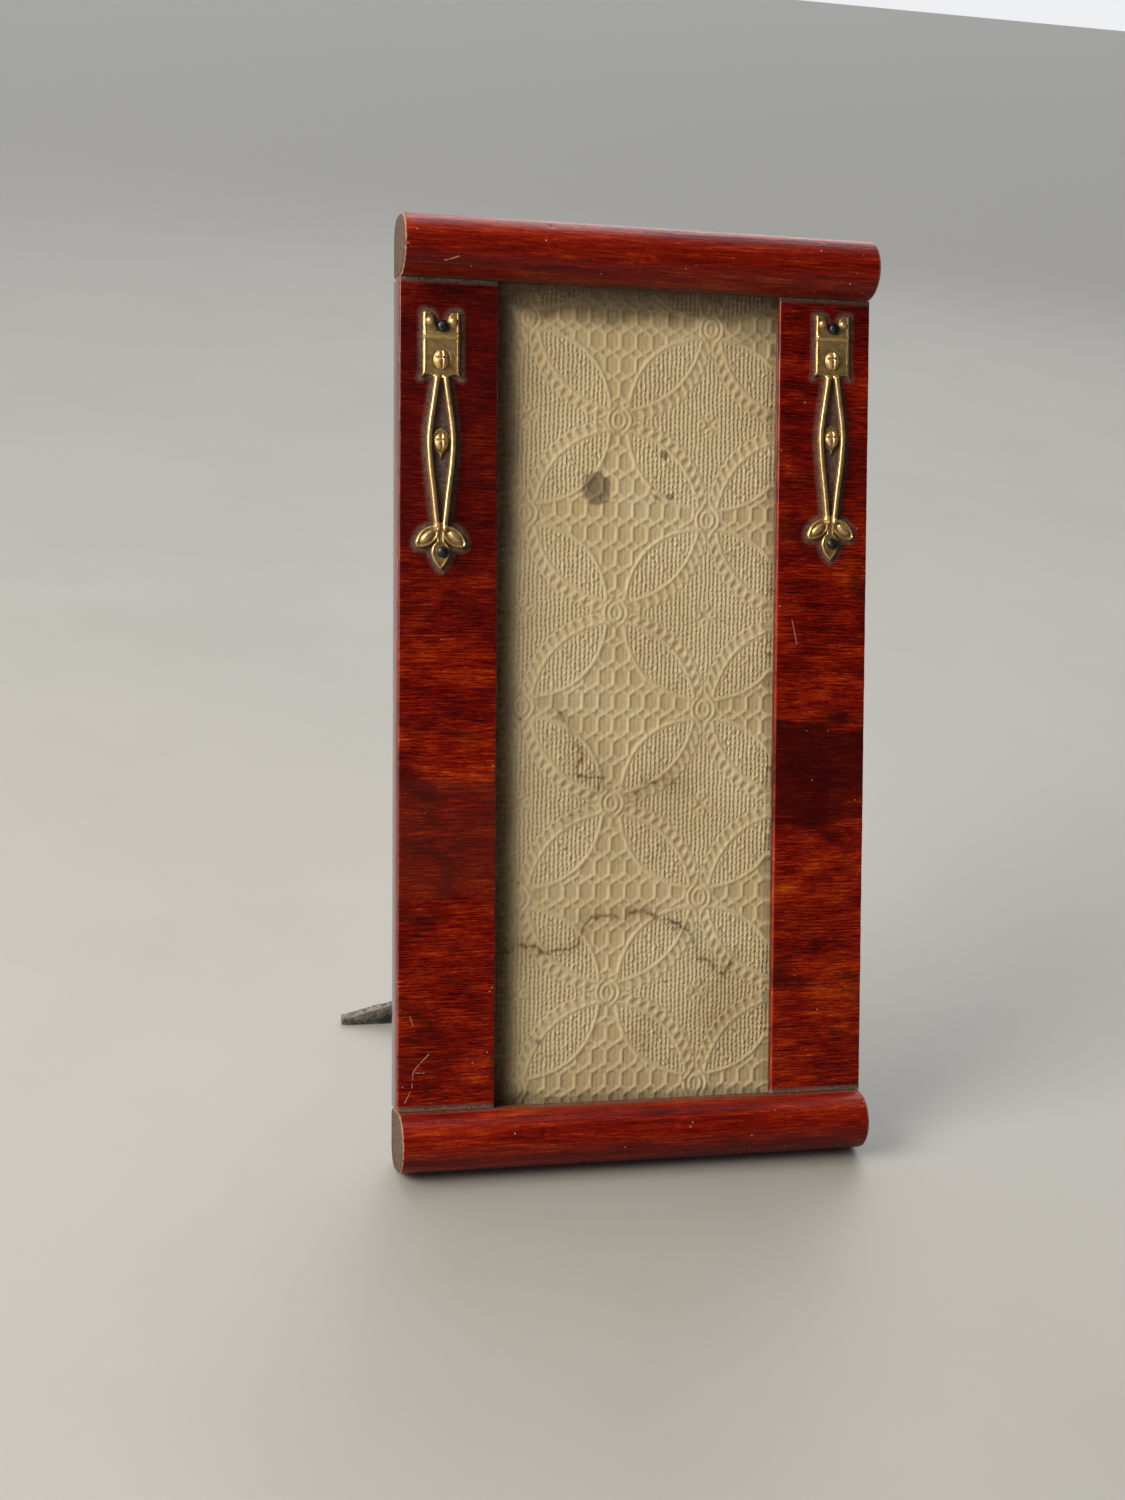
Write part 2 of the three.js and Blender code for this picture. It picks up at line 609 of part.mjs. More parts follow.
// Leaf on the strut, about the hinge pin's middle. Its heel stands above the pin and meets the
// fixed leaf when the strut is fully open.
function movingLeaf() {
  const front = STRUT_HALF_THICKNESS + GAP;
  const back = front + LEAF_THICKNESS;
  const half = MIDDLE_KNUCKLE_HALF_WIDTH;
  const plate = box([-MOVING_LEAF_HALF_WIDTH, front, -MOVING_LEAF_LENGTH],
    [MOVING_LEAF_HALF_WIDTH, back, -KNUCKLE_RADIUS - GAP]);
  const neck = box([-half, front, -KNUCKLE_RADIUS - 1], [half, back, HEEL_LENGTH]);
  const knuckle = rodAlongX(KNUCKLE_RADIUS, -half, half);
  const rivetHoles = [-MOVING_RIVET.x, MOVING_RIVET.x].map(
    (x) => rodAlongY(RIVET_HOLE_RADIUS, x, MOVING_RIVET.z, front - 1, back + 1),
  );
  return mesh('hinge_moving_leaf', cut(joined([plate, neck, knuckle]), [pinBore(), ...rivetHoles]),
    FINISHES.agedBrass);
}

// The strut hangs along -Z from the hinge pin, and its foot is trimmed level with the floor.
function strutBoard() {
  const foot = -STRUT_LENGTH - 1;
  const shoulder = -STRUT_LENGTH;
  const outline = new THREE.Shape();
  outline.moveTo(STRUT_TOP_HALF_WIDTH, STRUT_TOP);
  outline.lineTo(-STRUT_TOP_HALF_WIDTH, STRUT_TOP);
  outline.lineTo(-STRUT_WAIST_HALF_WIDTH, shoulder + STRUT_WAIST_ABOVE_FOOT);
  outline.quadraticCurveTo(-STRUT_SPREAD.x, shoulder + STRUT_SPREAD.z,
    -STRUT_FOOT_HALF_WIDTH, shoulder + STRUT_TIP_HEIGHT);
  outline.lineTo(-STRUT_FOOT_HALF_WIDTH, foot);
  outline.lineTo(STRUT_FOOT_HALF_WIDTH, foot);
  outline.lineTo(STRUT_FOOT_HALF_WIDTH, shoulder + STRUT_TIP_HEIGHT);
  outline.quadraticCurveTo(STRUT_SPREAD.x, shoulder + STRUT_SPREAD.z,
    STRUT_WAIST_HALF_WIDTH, shoulder + STRUT_WAIST_ABOVE_FOOT);
  outline.closePath();
  const board = slab(outline, -STRUT_HALF_THICKNESS, STRUT_THICKNESS);
  const belowFloor = box([-WIDTH, -WIDTH, -PIN_ABOVE_FLOOR - WIDTH], [WIDTH, WIDTH, -PIN_ABOVE_FLOOR]);
  const rivetHoles = [-MOVING_RIVET.x, MOVING_RIVET.x].map((x) => rodAlongY(
    RIVET_HOLE_RADIUS, x, MOVING_RIVET.z, -STRUT_HALF_THICKNESS - 1, STRUT_HALF_THICKNESS + 1,
  ));
  return mesh('strut_board', cut(board, [belowFloor.rotateX(-STRUT_LEAN), ...rivetHoles]),
    FINISHES.strutCloth);
}

function strut() {
  const swinging = new THREE.Group();
  swinging.position.set(0, HINGE_PIN_BACK, HINGE_PIN_HEIGHT);
  swinging.rotation.x = STRUT_OPENING;
  const seat = STRUT_HALF_THICKNESS + LEAF_THICKNESS + 2 * GAP;
  const shank = LEAF_THICKNESS + GAP + STRUT_THICKNESS;
  const rivets = Object.entries(SIDES).map(([sideName, side]) => mesh(
    `strut_rivet_${sideName}`, rivetGeometry(shank), FINISHES.agedBrass,
    [side * MOVING_RIVET.x, seat, MOVING_RIVET.z],
  ));
  swinging.add(movingLeaf(), strutBoard(), ...rivets);
  return swinging;
}

// ---- The whole frame ---------------------------------------------------------------------

function leaningFrame() {
  const leaning = new THREE.Group();
  leaning.rotation.x = -LEAN;
  leaning.add(...rails(), ...panel(), fixedHinge(), strut());
  for (const sideName of Object.keys(SIDES)) {
    leaning.add(stileCore(sideName), stileVeneer(sideName), ...dowels(sideName));
    leaning.add(...brassMount(sideName));
    for (const level of Object.keys(BUTTON_HEIGHTS)) {
      leaning.add(...turnButton(level, sideName));
    }
  }
  return leaning;
}

// The origin is the middle of the underside of the object's own box.
function standing(content) {
  const object = new THREE.Group();
  object.add(content);
  const bounds = new THREE.Box3().setFromObject(object, true);
  const middle = bounds.getCenter(new THREE.Vector3());
  content.position.set(-middle.x, -middle.y, -bounds.min.z);
  return object;
}

export default standing(leaningFrame());
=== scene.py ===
"""Finishes and detailed pieces for a leaning desk frame with a glazed panel of embossed paper.

Two round-nosed rails and two cross-veneered stiles hold the panel. Stamped brass mounts are pinned to
the stiles, turn-buttons hold the back board in, and a covered strut swings on a brass hinge. Working
sizes are millimetres in the frame's own leaning space: X to the right, Y to the back from the face of
the stiles, and Z up along the frame from the underside of the bottom rail.
"""

import json
import logging
import math
from dataclasses import dataclass, field
from enum import Enum
from itertools import product
from typing import Callable, Iterable, Sequence

import bmesh
import bpy
import numpy as np
from mathutils import Matrix, Vector

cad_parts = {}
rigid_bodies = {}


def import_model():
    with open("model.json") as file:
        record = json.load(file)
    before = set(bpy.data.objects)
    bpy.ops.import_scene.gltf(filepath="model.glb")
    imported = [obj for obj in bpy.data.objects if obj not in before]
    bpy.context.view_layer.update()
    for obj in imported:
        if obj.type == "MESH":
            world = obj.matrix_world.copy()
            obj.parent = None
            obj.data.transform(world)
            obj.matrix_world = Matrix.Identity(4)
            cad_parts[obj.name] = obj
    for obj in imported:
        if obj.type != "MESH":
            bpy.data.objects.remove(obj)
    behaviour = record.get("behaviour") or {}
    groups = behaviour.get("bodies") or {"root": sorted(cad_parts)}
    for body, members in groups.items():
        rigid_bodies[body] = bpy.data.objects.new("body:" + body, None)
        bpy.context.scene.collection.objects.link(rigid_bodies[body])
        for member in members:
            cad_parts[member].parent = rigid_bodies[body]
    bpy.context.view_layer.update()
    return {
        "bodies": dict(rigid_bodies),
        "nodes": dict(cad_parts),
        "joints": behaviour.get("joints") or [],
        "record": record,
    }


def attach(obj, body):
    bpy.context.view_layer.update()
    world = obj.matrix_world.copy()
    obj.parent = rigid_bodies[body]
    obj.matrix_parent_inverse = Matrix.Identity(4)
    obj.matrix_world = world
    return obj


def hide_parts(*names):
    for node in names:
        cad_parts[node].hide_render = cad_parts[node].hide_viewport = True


MM = 0.001
FRAME_BODY = "frame"
STRUT_BODY = "strut"
LOG = logging.getLogger("desk_frame")

Colour = tuple[float, float, float, float]
Pair = tuple[float, float]
Face = tuple[int, ...]
Grid = np.ndarray
Field = Callable[[Grid, Grid], Grid]
Material = bpy.types.Material
Mesh = bpy.types.Mesh
Socket = bpy.types.NodeSocket
Thing = bpy.types.Object


class Side(Enum):
    """Left or right, as seen from the front."""

    LEFT = "left"
    RIGHT = "right"

    @property
    def sign(self) -> int:
        """-1 on the left and 1 on the right."""
        return -1 if self is Side.LEFT else 1


class Level(Enum):
    """Upper or lower one of a pair of fastenings."""

    UPPER = "upper"
    LOWER = "lower"


# ---- Spaces ----------------------------------------------------------------------------------


@dataclass(frozen=True)
class Space:
    """A working space in millimetres and its place in the row frame.

    Attributes:
        origin: The space's origin in the row frame, in metres.
        back: The space's Y direction in the row frame.
        up: The space's Z direction in the row frame.
    """

    origin: Vector
    back: Vector
    up: Vector

    @property
    def turn(self) -> Matrix:
        """The rotation from the space to the row frame."""
        across = self.back.cross(self.up)
        return Matrix((across, self.back, self.up)).transposed()

    def place(self, points: Grid) -> Grid:
        """Turns millimetre points of the space into row-frame metres."""
        return points @ np.array(self.turn).T * MM + np.array(self.origin)

    def point(self, x: float, y: float, z: float) -> Vector:
        """One point of the space in the row frame."""
        return Vector(self.place(np.array([[x, y, z]], float))[0])

    def box(self, node: Thing) -> tuple[Grid, Grid]:
        """The lowest and highest corners of a CAD node in this space, in millimetres."""
        points = np.array([vertex.co for vertex in node.data.vertices], float)
        local = (points - np.array(self.origin)) @ np.array(self.turn) / MM
        return local.min(0), local.max(0)


def leaning_space(frame: dict) -> Space:
    """The frame's own space, from the turn-buttons' axis and the face and foot of the frame.


    Returns:
        The leaning space, with its origin below the middle of the stiles' face.
    """
    joint = next(item for item in frame["joints"] if item["name"] == "turn_upper_left")
    back = Vector(joint["axis"]).normalized()
    up = Vector((0, -back.z, back.y))
    rough = Space(Vector((0, 0, 0)), back, up)
    face = rough.box(frame["nodes"]["stile_veneer_left"])[0][1]
    foot = rough.box(frame["nodes"]["bottom_rail"])[0][2]
    return Space(back * float(face) * MM + up * float(foot) * MM, back, up)


def strut_space(frame: dict, leaning: Space) -> Space:
    """The strut's own space about its hinge pin, with Z up along the strut.

    Args:
        leaning: The frame's leaning space.

    Returns:
        The strut's space at rest, where the strut stands fully open.
    """
    joint = next(item for item in frame["joints"] if item["name"] == "strut_swing")
    swing = Matrix.Rotation(math.radians(-joint["range_deg"][0]), 3, "X")
    return Space(Vector(joint["pos_m"]), swing @ leaning.back, swing @ leaning.up)


# ---- Numbers on arrays -----------------------------------------------------------------------


def smooth(value: Grid, low: float, high: float) -> Grid:
    """A soft step from 0 at low to 1 at high; low may be the larger."""
    share = np.clip((value - low) / (high - low), 0, 1)
    return share * share * (3 - 2 * share)


def ridge(away: Grid, width: float) -> Grid:
    """A rounded ridge of height 1 where away is 0."""
    return np.exp(-((away / width) ** 2))


def hashed(cell: Grid, seed: int) -> Grid:
    """A fixed random number from -1 to 1 for each whole-number cell."""
    mixed = cell @ np.array([127.1, 311.7, 74.7][: cell.shape[-1]]) + seed * 17.13
    return 2 * np.modf(np.abs(np.sin(mixed)) * 43758.5453)[0] - 1


def mottle(seed: int, *axes: Grid, octaves: int = 3) -> Grid:
    """Smooth noise from about -1 to 1.

    Args:
        seed: Picks one pattern.
        axes: Coordinates, scaled so that one lump is about one unit wide.
        octaves: How many finer layers are added.

    Returns:
        The noise, in the shape of the coordinates.
    """
    place = np.stack(np.broadcast_arrays(*axes), -1).astype(float)
    total = np.zeros(place.shape[:-1])
    for octave in range(octaves):
        scaled = place * 2**octave
        cell = np.floor(scaled)
        share = scaled - cell
        blend = share * share * (3 - 2 * share)
        for corner in product((0, 1), repeat=len(axes)):
            ends = np.array(corner)
            weight = np.prod(np.where(ends, blend, 1 - blend), -1)
            total += weight * hashed(cell + ends, seed + octave) / 2**octave
    return total / 1.4


def line_distance(x: Grid, z: Grid, points: Sequence[Pair]) -> Grid:
    """Distance from each place to an open line of points."""
    nearest = np.full(np.shape(x), np.inf)
    for (ax, az), (bx, bz) in zip(points, points[1:]):
        dx, dz = bx - ax, bz - az
        if dx == dz == 0:
            continue
        share = np.clip(((x - ax) * dx + (z - az) * dz) / (dx * dx + dz * dz), 0, 1)
        nearest = np.minimum(nearest, np.hypot(x - ax - share * dx, z - az - share * dz))
    return nearest


def outline_distance(x: Grid, z: Grid, points: Sequence[Pair]) -> Grid:
    """Distance to a closed outline, negative inside it."""
    inside = np.zeros(np.shape(x), bool)
    closed = [*points, points[0]]
    for (ax, az), (bx, bz) in zip(closed, closed[1:]):
        if az != bz:
            crosses = (az > z) != (bz > z)
            inside ^= crosses & (x < (bx - ax) * (z - az) / (bz - az) + ax)
    return np.where(inside, -1, 1) * line_distance(x, z, closed)


def box_distance(x: Grid, z: Grid, low: Pair, high: Pair, round_by: float = 0) -> Grid:
    """Distance to an upright rectangle with rounded corners, negative inside it."""
    across = np.abs(x - (low[0] + high[0]) / 2) - (high[0] - low[0]) / 2 + round_by
    along = np.abs(z - (low[1] + high[1]) / 2) - (high[1] - low[1]) / 2 + round_by
    outside = np.hypot(np.maximum(across, 0), np.maximum(along, 0))
    return outside + np.minimum(np.maximum(across, along), 0) - round_by


def dome(
    x: Grid, z: Grid, centre: Pair, half: Pair, tilt: float = 0
) -> Grid:
    """A dome of height 1 over an oval, and 0 outside it.

    Args:
        x: Places across.
        z: Places up.
        centre: The oval's middle.
        half: The oval's half-width and half-length.
        tilt: The turn of its length from upright, in radians.

    Returns:
        The dome's height at each place.
    """
    dx, dz = x - centre[0], z - centre[1]
    across = (dx * math.cos(tilt) - dz * math.sin(tilt)) / half[0]
    along = (dx * math.sin(tilt) + dz * math.cos(tilt)) / half[1]
    return np.sqrt(np.clip(1 - across**2 - along**2, 0, 1))


def curve(start: Pair, pull: Pair, end: Pair, steps: int = 8) -> list[Pair]:
    """Points of a quadratic curve, without its last one."""
    points = []
    for step in range(steps):
        t = step / steps
        points.append(tuple(
            (1 - t) ** 2 * start[axis] + 2 * t * (1 - t) * pull[axis] + t * t * end[axis]
            for axis in (0, 1)
        ))
    return points


def arc(centre: Pair, radius: float, start: float, end: float, steps: int = 8) -> list[Pair]:
    """Points of an arc between two angles in degrees, both ends included."""
    angles = [math.radians(start + (end - start) * step / steps) for step in range(steps + 1)]
    return [(centre[0] + radius * math.cos(a), centre[1] + radius * math.sin(a)) for a in angles]


def mirrored(half: list[Pair]) -> list[Pair]:
    """The right half of an outline with its left half."""
    return half + [(-x, z) for x, z in reversed(half)]


# ---- Meshes ----------------------------------------------------------------------------------


@dataclass
class Draft:
    """A mesh in the making, in a space's millimetres.

    Attributes:
        points: One row of X, Y and Z for each vertex.
        faces: Vertex numbers of each face.
        marks: Named values, one for each vertex, that a finish reads.
    """

    points: Grid
    faces: list[Face]
    marks: dict[str, Grid] = field(default_factory=dict)

    def joined(self, other: "Draft") -> "Draft":
        """This draft and another as one."""
        shift = len(self.points)
        moved = [tuple(index + shift for index in face) for face in other.faces]
        marks = {}
        for name in {**self.marks, **other.marks}:
            ours = self.marks.get(name, np.zeros(shift))
            theirs = other.marks.get(name, np.zeros(len(other.points)))
            marks[name] = np.concatenate([ours, theirs])
        return Draft(np.concatenate([self.points, other.points]), self.faces + moved, marks)

    def moved(self, x: float = 0, y: float = 0, z: float = 0, flip: bool = False) -> "Draft":
        """A copy moved, and first turned half round about its Y axis if flip is set."""
        turn = np.array([-1, 1, -1]) if flip else np.ones(3)
        return Draft(self.points * turn + np.array([x, y, z]), self.faces, self.marks)

    def raised(
        self, name: str, space: Space, finish: Material, sharp: float = 40
    ) -> Thing:
        """Makes the piece from the draft.

        Args:
            name: The piece's name.
            space: The space of the draft's millimetres.
            finish: The piece's material.
            sharp: Edges bent by more degrees than this stay crisp.

        Returns:
            The new object, at the origin, with its place in its mesh.
        """
        mesh = bpy.data.meshes.new(name)
        mesh.from_pydata(space.place(self.points).tolist(), [], self.faces)
        for mark, values in self.marks.items():
            layer = mesh.attributes.new(mark, "FLOAT", "POINT")
            layer.data.foreach_set("value", values.astype(np.float32))
        mesh.materials.append(finish)
        return smoothed(mesh, name, sharp)


def shown(name: str, data: bpy.types.ID) -> Thing:
    """A new object in the scene."""
    thing = bpy.data.objects.new(name, data)
    bpy.context.scene.collection.objects.link(thing)
    return thing


def smoothed(mesh: Mesh, name: str, sharp: float) -> Thing:
    """Turns a mesh's faces outwards, shades it smooth but for its sharp edges, and shows it."""
    tidy_normals(mesh)
    mesh.shade_smooth()
    mesh.set_sharp_from_angle(angle=math.radians(sharp))
    return shown(name, mesh)


def tidy_normals(mesh: Mesh) -> None:
    """Turns every face of a mesh outwards."""
    work = bmesh.new()
    work.from_mesh(mesh)
    bmesh.ops.recalc_face_normals(work, faces=work.faces)
    work.to_mesh(mesh)
    work.free()


def loft(rings: Grid) -> Draft:
    """A skin over rings of points, with both ends filled.

    Args:
        rings: Stations by points by 3.

    Returns:
        The lofted solid.
    """
    stations, count, _ = rings.shape
    faces = []
    for station in range(stations - 1):
        for index in range(count):
            after = (index + 1) % count
            low, high = station * count, (station + 1) * count
            faces.append((low + index, low + after, high + after, high + index))
    faces.append(tuple(reversed(range(count))))
    faces.append(tuple(range((stations - 1) * count, stations * count)))
    return Draft(rings.reshape(-1, 3), faces)


def bar_along_x(section: Sequence[Pair], start: float, end: float, ease: float) -> Draft:
    """A section in Y and Z drawn along X, with eased ends."""
    outline = np.array(section)
    middle = outline.mean(0)
    half = np.abs(outline - middle).max(0)
    rings = []
    for inset, x in ((ease, start), (0, start + ease), (0, end - ease), (ease, end)):
        shrunk = middle + (outline - middle) * (1 - inset / half)
        rings.append(np.column_stack([np.full(len(outline), x), shrunk]))
    return loft(np.array(rings))


@dataclass(frozen=True)
class Sheet:
    """A sheet cut to an outline, with a front and a back that may be embossed.

    Attributes:
        distance: Signed distance to the outline, negative inside.
        low: Lowest corner of the area that is meshed.
        high: Highest corner of that area.
        step: Size of a mesh cell.
    """

    distance: Field
    low: Pair
    high: Pair
    step: float

    def cells(self) -> tuple[Grid, Grid, Grid]:
        """The grid's places and which of its cells are kept."""
        xs = np.arange(self.low[0] - self.step, self.high[0] + 2 * self.step, self.step)
        zs = np.arange(self.low[1] - self.step, self.high[1] + 2 * self.step, self.step)
        x, z = np.meshgrid(xs, zs, indexing="ij")
        middle = (x[:-1, :-1] + self.step / 2, z[:-1, :-1] + self.step / 2)
        return x, z, self.distance(*middle) < 0

    def snapped(self, x: Grid, z: Grid, edge: Grid) -> tuple[Grid, Grid]:
        """Pulls the rim's vertices onto the outline."""
        x, z = x.copy(), z.copy()
        small = self.step * 0.05
        for _ in range(4):
            ex, ez = x[edge], z[edge]
            off = self.distance(ex, ez)
            gx = (self.distance(ex + small, ez) - off) / small
            gz = (self.distance(ex, ez + small) - off) / small
            length = np.maximum(np.hypot(gx, gz), 0.3)
            x[edge] = ex - np.clip(off, -self.step, self.step) * gx / length**2
            z[edge] = ez - np.clip(off, -self.step, self.step) * gz / length**2
        return x, z

    def draft(self, front: Field, back: Field, marks: dict[str, Field] | None = None) -> Draft:
        """Meshes the sheet.

        Args:
            front: Y of the front face at each place.
            back: Y of the back face at each place.
            marks: Named values at each place, for the finish.

        Returns:
            The sheet as a closed solid.
        """
        x, z, kept = self.cells()
        corners = np.zeros(x.shape, int)
        for i, j in product((0, 1), repeat=2):
            corners[i : i + kept.shape[0], j : j + kept.shape[1]] += kept
        used = corners > 0
        x, z = self.snapped(x, z, used & (corners < 4))
        number = np.full(x.shape, -1)
        number[used] = np.arange(used.sum())
        total = int(used.sum())
        px, pz = x[used], z[used]
        sides = [np.column_stack([px, face(px, pz), pz]) for face in (front, back)]
        i, j = np.nonzero(kept)
        quads = np.column_stack([number[i, j], number[i + 1, j], number[i + 1, j + 1], number[i, j + 1]])
        faces = [tuple(quad) for quad in quads.tolist()]
        faces += [tuple(index + total for index in reversed(quad)) for quad in quads.tolist()]
        faces += self.walls(quads, total)
        values = {name: np.tile(value(px, pz), 2) for name, value in (marks or {}).items()}
        return Draft(np.concatenate(sides), faces, values)

    def walls(self, quads: Grid, total: int) -> list[Face]:
        """Joins the front and back rims."""
        seen = set()
        for quad in quads.tolist():
            seen.update(zip(quad, quad[1:] + quad[:1]))
        rim = sorted((a, b) for a, b in seen if (b, a) not in seen)
        return [(b, a, a + total, b + total) for a, b in rim]


def level(value: float) -> Field:
    """A flat face at one Y."""
    return lambda x, z: np.full(np.shape(x), value)


# ---- Node helpers ----------------------------------------------------------------------------


@dataclass(frozen=True)
class Signal:
    """A value that flows between nodes, so that sums on it read as sums.

    Attributes:
        tree: The tree that it flows in.
        socket: The output that it comes from.
    """

    tree: "Tree"
    socket: Socket

    def __add__(self, other: object) -> "Signal":
        """The sum."""
        return self.tree.calc("ADD", self, other)

    def __sub__(self, other: object) -> "Signal":
        """The difference."""
        return self.tree.calc("SUBTRACT", self, other)

    def __rsub__(self, other: float) -> "Signal":
        """What is left of a number."""
        return self.tree.calc("SUBTRACT", other, self)

    def __mul__(self, other: object) -> "Signal":
        """The product."""
        return self.tree.calc("MULTIPLY", self, other)

    def __truediv__(self, other: object) -> "Signal":
        """The quotient."""
        return self.tree.calc("DIVIDE", self, other)


class Tree:
    """A short hand for wiring nodes."""

    def __init__(self, tree: bpy.types.NodeTree) -> None:
        """Keeps the tree to wire."""
        self.tree = tree

    def add(
        self, kind: str, *values: object, settings: dict | None = None, **named: object
    ) -> bpy.types.Node:
        """Adds a node and fills its inputs.

        Args:
            kind: The node's type.
            values: Numbers or sockets for its first inputs, in order; None skips one.
            settings: Properties of the node, set before its inputs.
            named: Inputs by name, with _ for a space.

        Returns:
            The new node.
        """
        node = self.tree.nodes.new(kind)
        for name, value in (settings or {}).items():
            setattr(node, name, value)
        pairs = list(zip(node.inputs, values))
        pairs += [(node.inputs[name.replace("_", " ")], value) for name, value in named.items()]
        for socket, value in pairs:
            value = value.socket if isinstance(value, Signal) else value
            if isinstance(value, Socket):
                self.tree.links.new(value, socket)
            elif value is not None:
                socket.default_value = value
        return node

    def calc(self, operation: str, a: object, b: object = 0.0, clamp: bool = False) -> Signal:
        """One step of arithmetic."""
        node = self.add("ShaderNodeMath", a, b, settings={"operation": operation, "use_clamp": clamp})
        return Signal(self, node.outputs[0])


def ink(code: str) -> Colour:
    """A colour from its hexadecimal code, as linear light."""
    parts = [int(code[start : start + 2], 16) / 255 for start in (0, 2, 4)]
    linear = [c / 12.92 if c <= 0.04045 else ((c + 0.055) / 1.055) ** 2.4 for c in parts]
    return (*linear, 1.0)


class Finish(Tree):
    """One material whose patterns are laid out in a space's millimetres."""

    def __init__(self, name: str, space: Space) -> None:
        """Starts the material and its coordinates.

        Args:
            name: The material's name.
            space: The space that the patterns follow.
        """
        self.material = bpy.data.materials.new(name)
        self.material.use_nodes = True
        super().__init__(self.material.node_tree)
        self.tree.nodes.clear()
        back = space.turn.transposed()
        shift = -(back @ space.origin) / MM
        mapping = self.add("ShaderNodeMapping", self.add("ShaderNodeTexCoord").outputs["Object"])
        mapping.inputs["Location"].default_value = shift
        mapping.inputs["Rotation"].default_value = back.to_euler()
        mapping.inputs["Scale"].default_value = (1 / MM,) * 3
        self.place = mapping.outputs[0]
        split = self.add("ShaderNodeSeparateXYZ", self.place)
        self.x, self.y, self.z = (Signal(self, socket) for socket in split.outputs)

    def band(self, value: object, low: float, high: float) -> Signal:
        """A soft step from 0 at low to 1 at high; low may be the larger."""
        if low > high:
            return 1.0 - self.band(value, high, low)
        node = self.add("ShaderNodeMapRange", value, low, high, settings={"interpolation_type": "SMOOTHSTEP"})
        return Signal(self, node.outputs[0])

    def stretched(self, stretch: Sequence[float], shift: float = 0) -> Socket:
        """The place scaled along each axis, and shifted so that patterns differ."""
        output = self.place
        for operation, value in (("MULTIPLY", tuple(stretch)), ("ADD", (shift,) * 3)):
            node = self.add("ShaderNodeVectorMath", output, value, settings={"operation": operation})
            output = node.outputs[0]
        return output

    def clouds(
        self, stretch: Sequence[float], detail: float = 4, rough: float = 0.55, shift: float = 0,
        twist: float = 0,
    ) -> Signal:
        """Noise with so many lumps to the millimetre along each axis."""
        node = self.add("ShaderNodeTexNoise", self.stretched(stretch, shift), Scale=1.0, Detail=detail,
                        Roughness=rough, Distortion=twist)
        return Signal(self, node.outputs["Fac"])

    def specks(self, density: float, size: float, shift: float = 0) -> Signal:
        """Scattered specks: 1 inside a speck, 0 elsewhere."""
        cells = self.add(
            "ShaderNodeTexVoronoi", self.stretched((density,) * 3, shift), Scale=1.0, Randomness=1.0
        )
        wanted = self.band(self.clouds((density / 3,) * 3, 1, 0.5, shift + 5), 0.52, 0.6)
        return self.band(cells.outputs["Distance"], size, size * 0.6) * wanted

    def scratches(self, lines: Sequence[tuple[Pair, Pair]]) -> Signal:
        """Fine broken scratches: 1 on a line, 0 elsewhere."""
        total = 0.0
        for (ax, az), (bx, bz) in lines:
            length = math.hypot(bx - ax, bz - az)
            ux, uz = (bx - ax) / length, (bz - az) / length
            dx, dz = (self.x - ax, self.z - az)
            along = dx * ux + dz * uz
            off = dx * uz - dz * ux
            line = self.band(self.calc("ABSOLUTE", off), 0.15, 0.05) * self.band(along, -0.2, 0.3)
            line = line * self.band(along, length + 0.2, length - 0.3)
            total = self.calc("MAXIMUM", line, total)
        return total * self.band(self.clouds((2, 2, 2), 3, 0.6, shift=3), 0.36, 0.5)

    def tones(self, value: object, *stops: tuple[float, str]) -> Socket:
        """A colour ramp through named colours."""
        node = self.add("ShaderNodeValToRGB", value)
        ramp = node.color_ramp
        while len(ramp.elements) < len(stops):
            ramp.elements.new(0.5)
        for element, (position, code) in zip(ramp.elements, stops):
            element.position = position
            element.color = ink(code)
        return node.outputs["Color"]

    def over(self, share: object, under: object, top: object) -> Socket:
        """One colour laid over another."""
        layers = [ink(layer) if isinstance(layer, str) else layer for layer in (under, top)]
        skipped = [None] * 5
        return self.add("ShaderNodeMix", share, *skipped, *layers, settings={"data_type": "RGBA"}).outputs[2]

    def mark(self, name: str) -> Signal:
        """A piece's own painted value."""
        return Signal(self, self.add("ShaderNodeAttribute", settings={"attribute_name": name}).outputs["Fac"])

    def bumps(self, *layers: tuple[object, float]) -> Socket:
        """Bump maps one over another, each a height and how many millimetres its 1 stands for."""
        normal = None
        for height, depth in layers:
            node = self.add("ShaderNodeBump", Strength=1.0, Distance=depth * MM, Height=height, Normal=normal)
            normal = node.outputs[0]
        return normal

    def done(self, **sockets: object) -> Material:
        """Wires the surface and returns the material."""
        shader = self.add("ShaderNodeBsdfPrincipled", **sockets)
        self.add("ShaderNodeOutputMaterial", shader.outputs[0])
        return self.material


# ---- Finishes --------------------------------------------------------------------------------


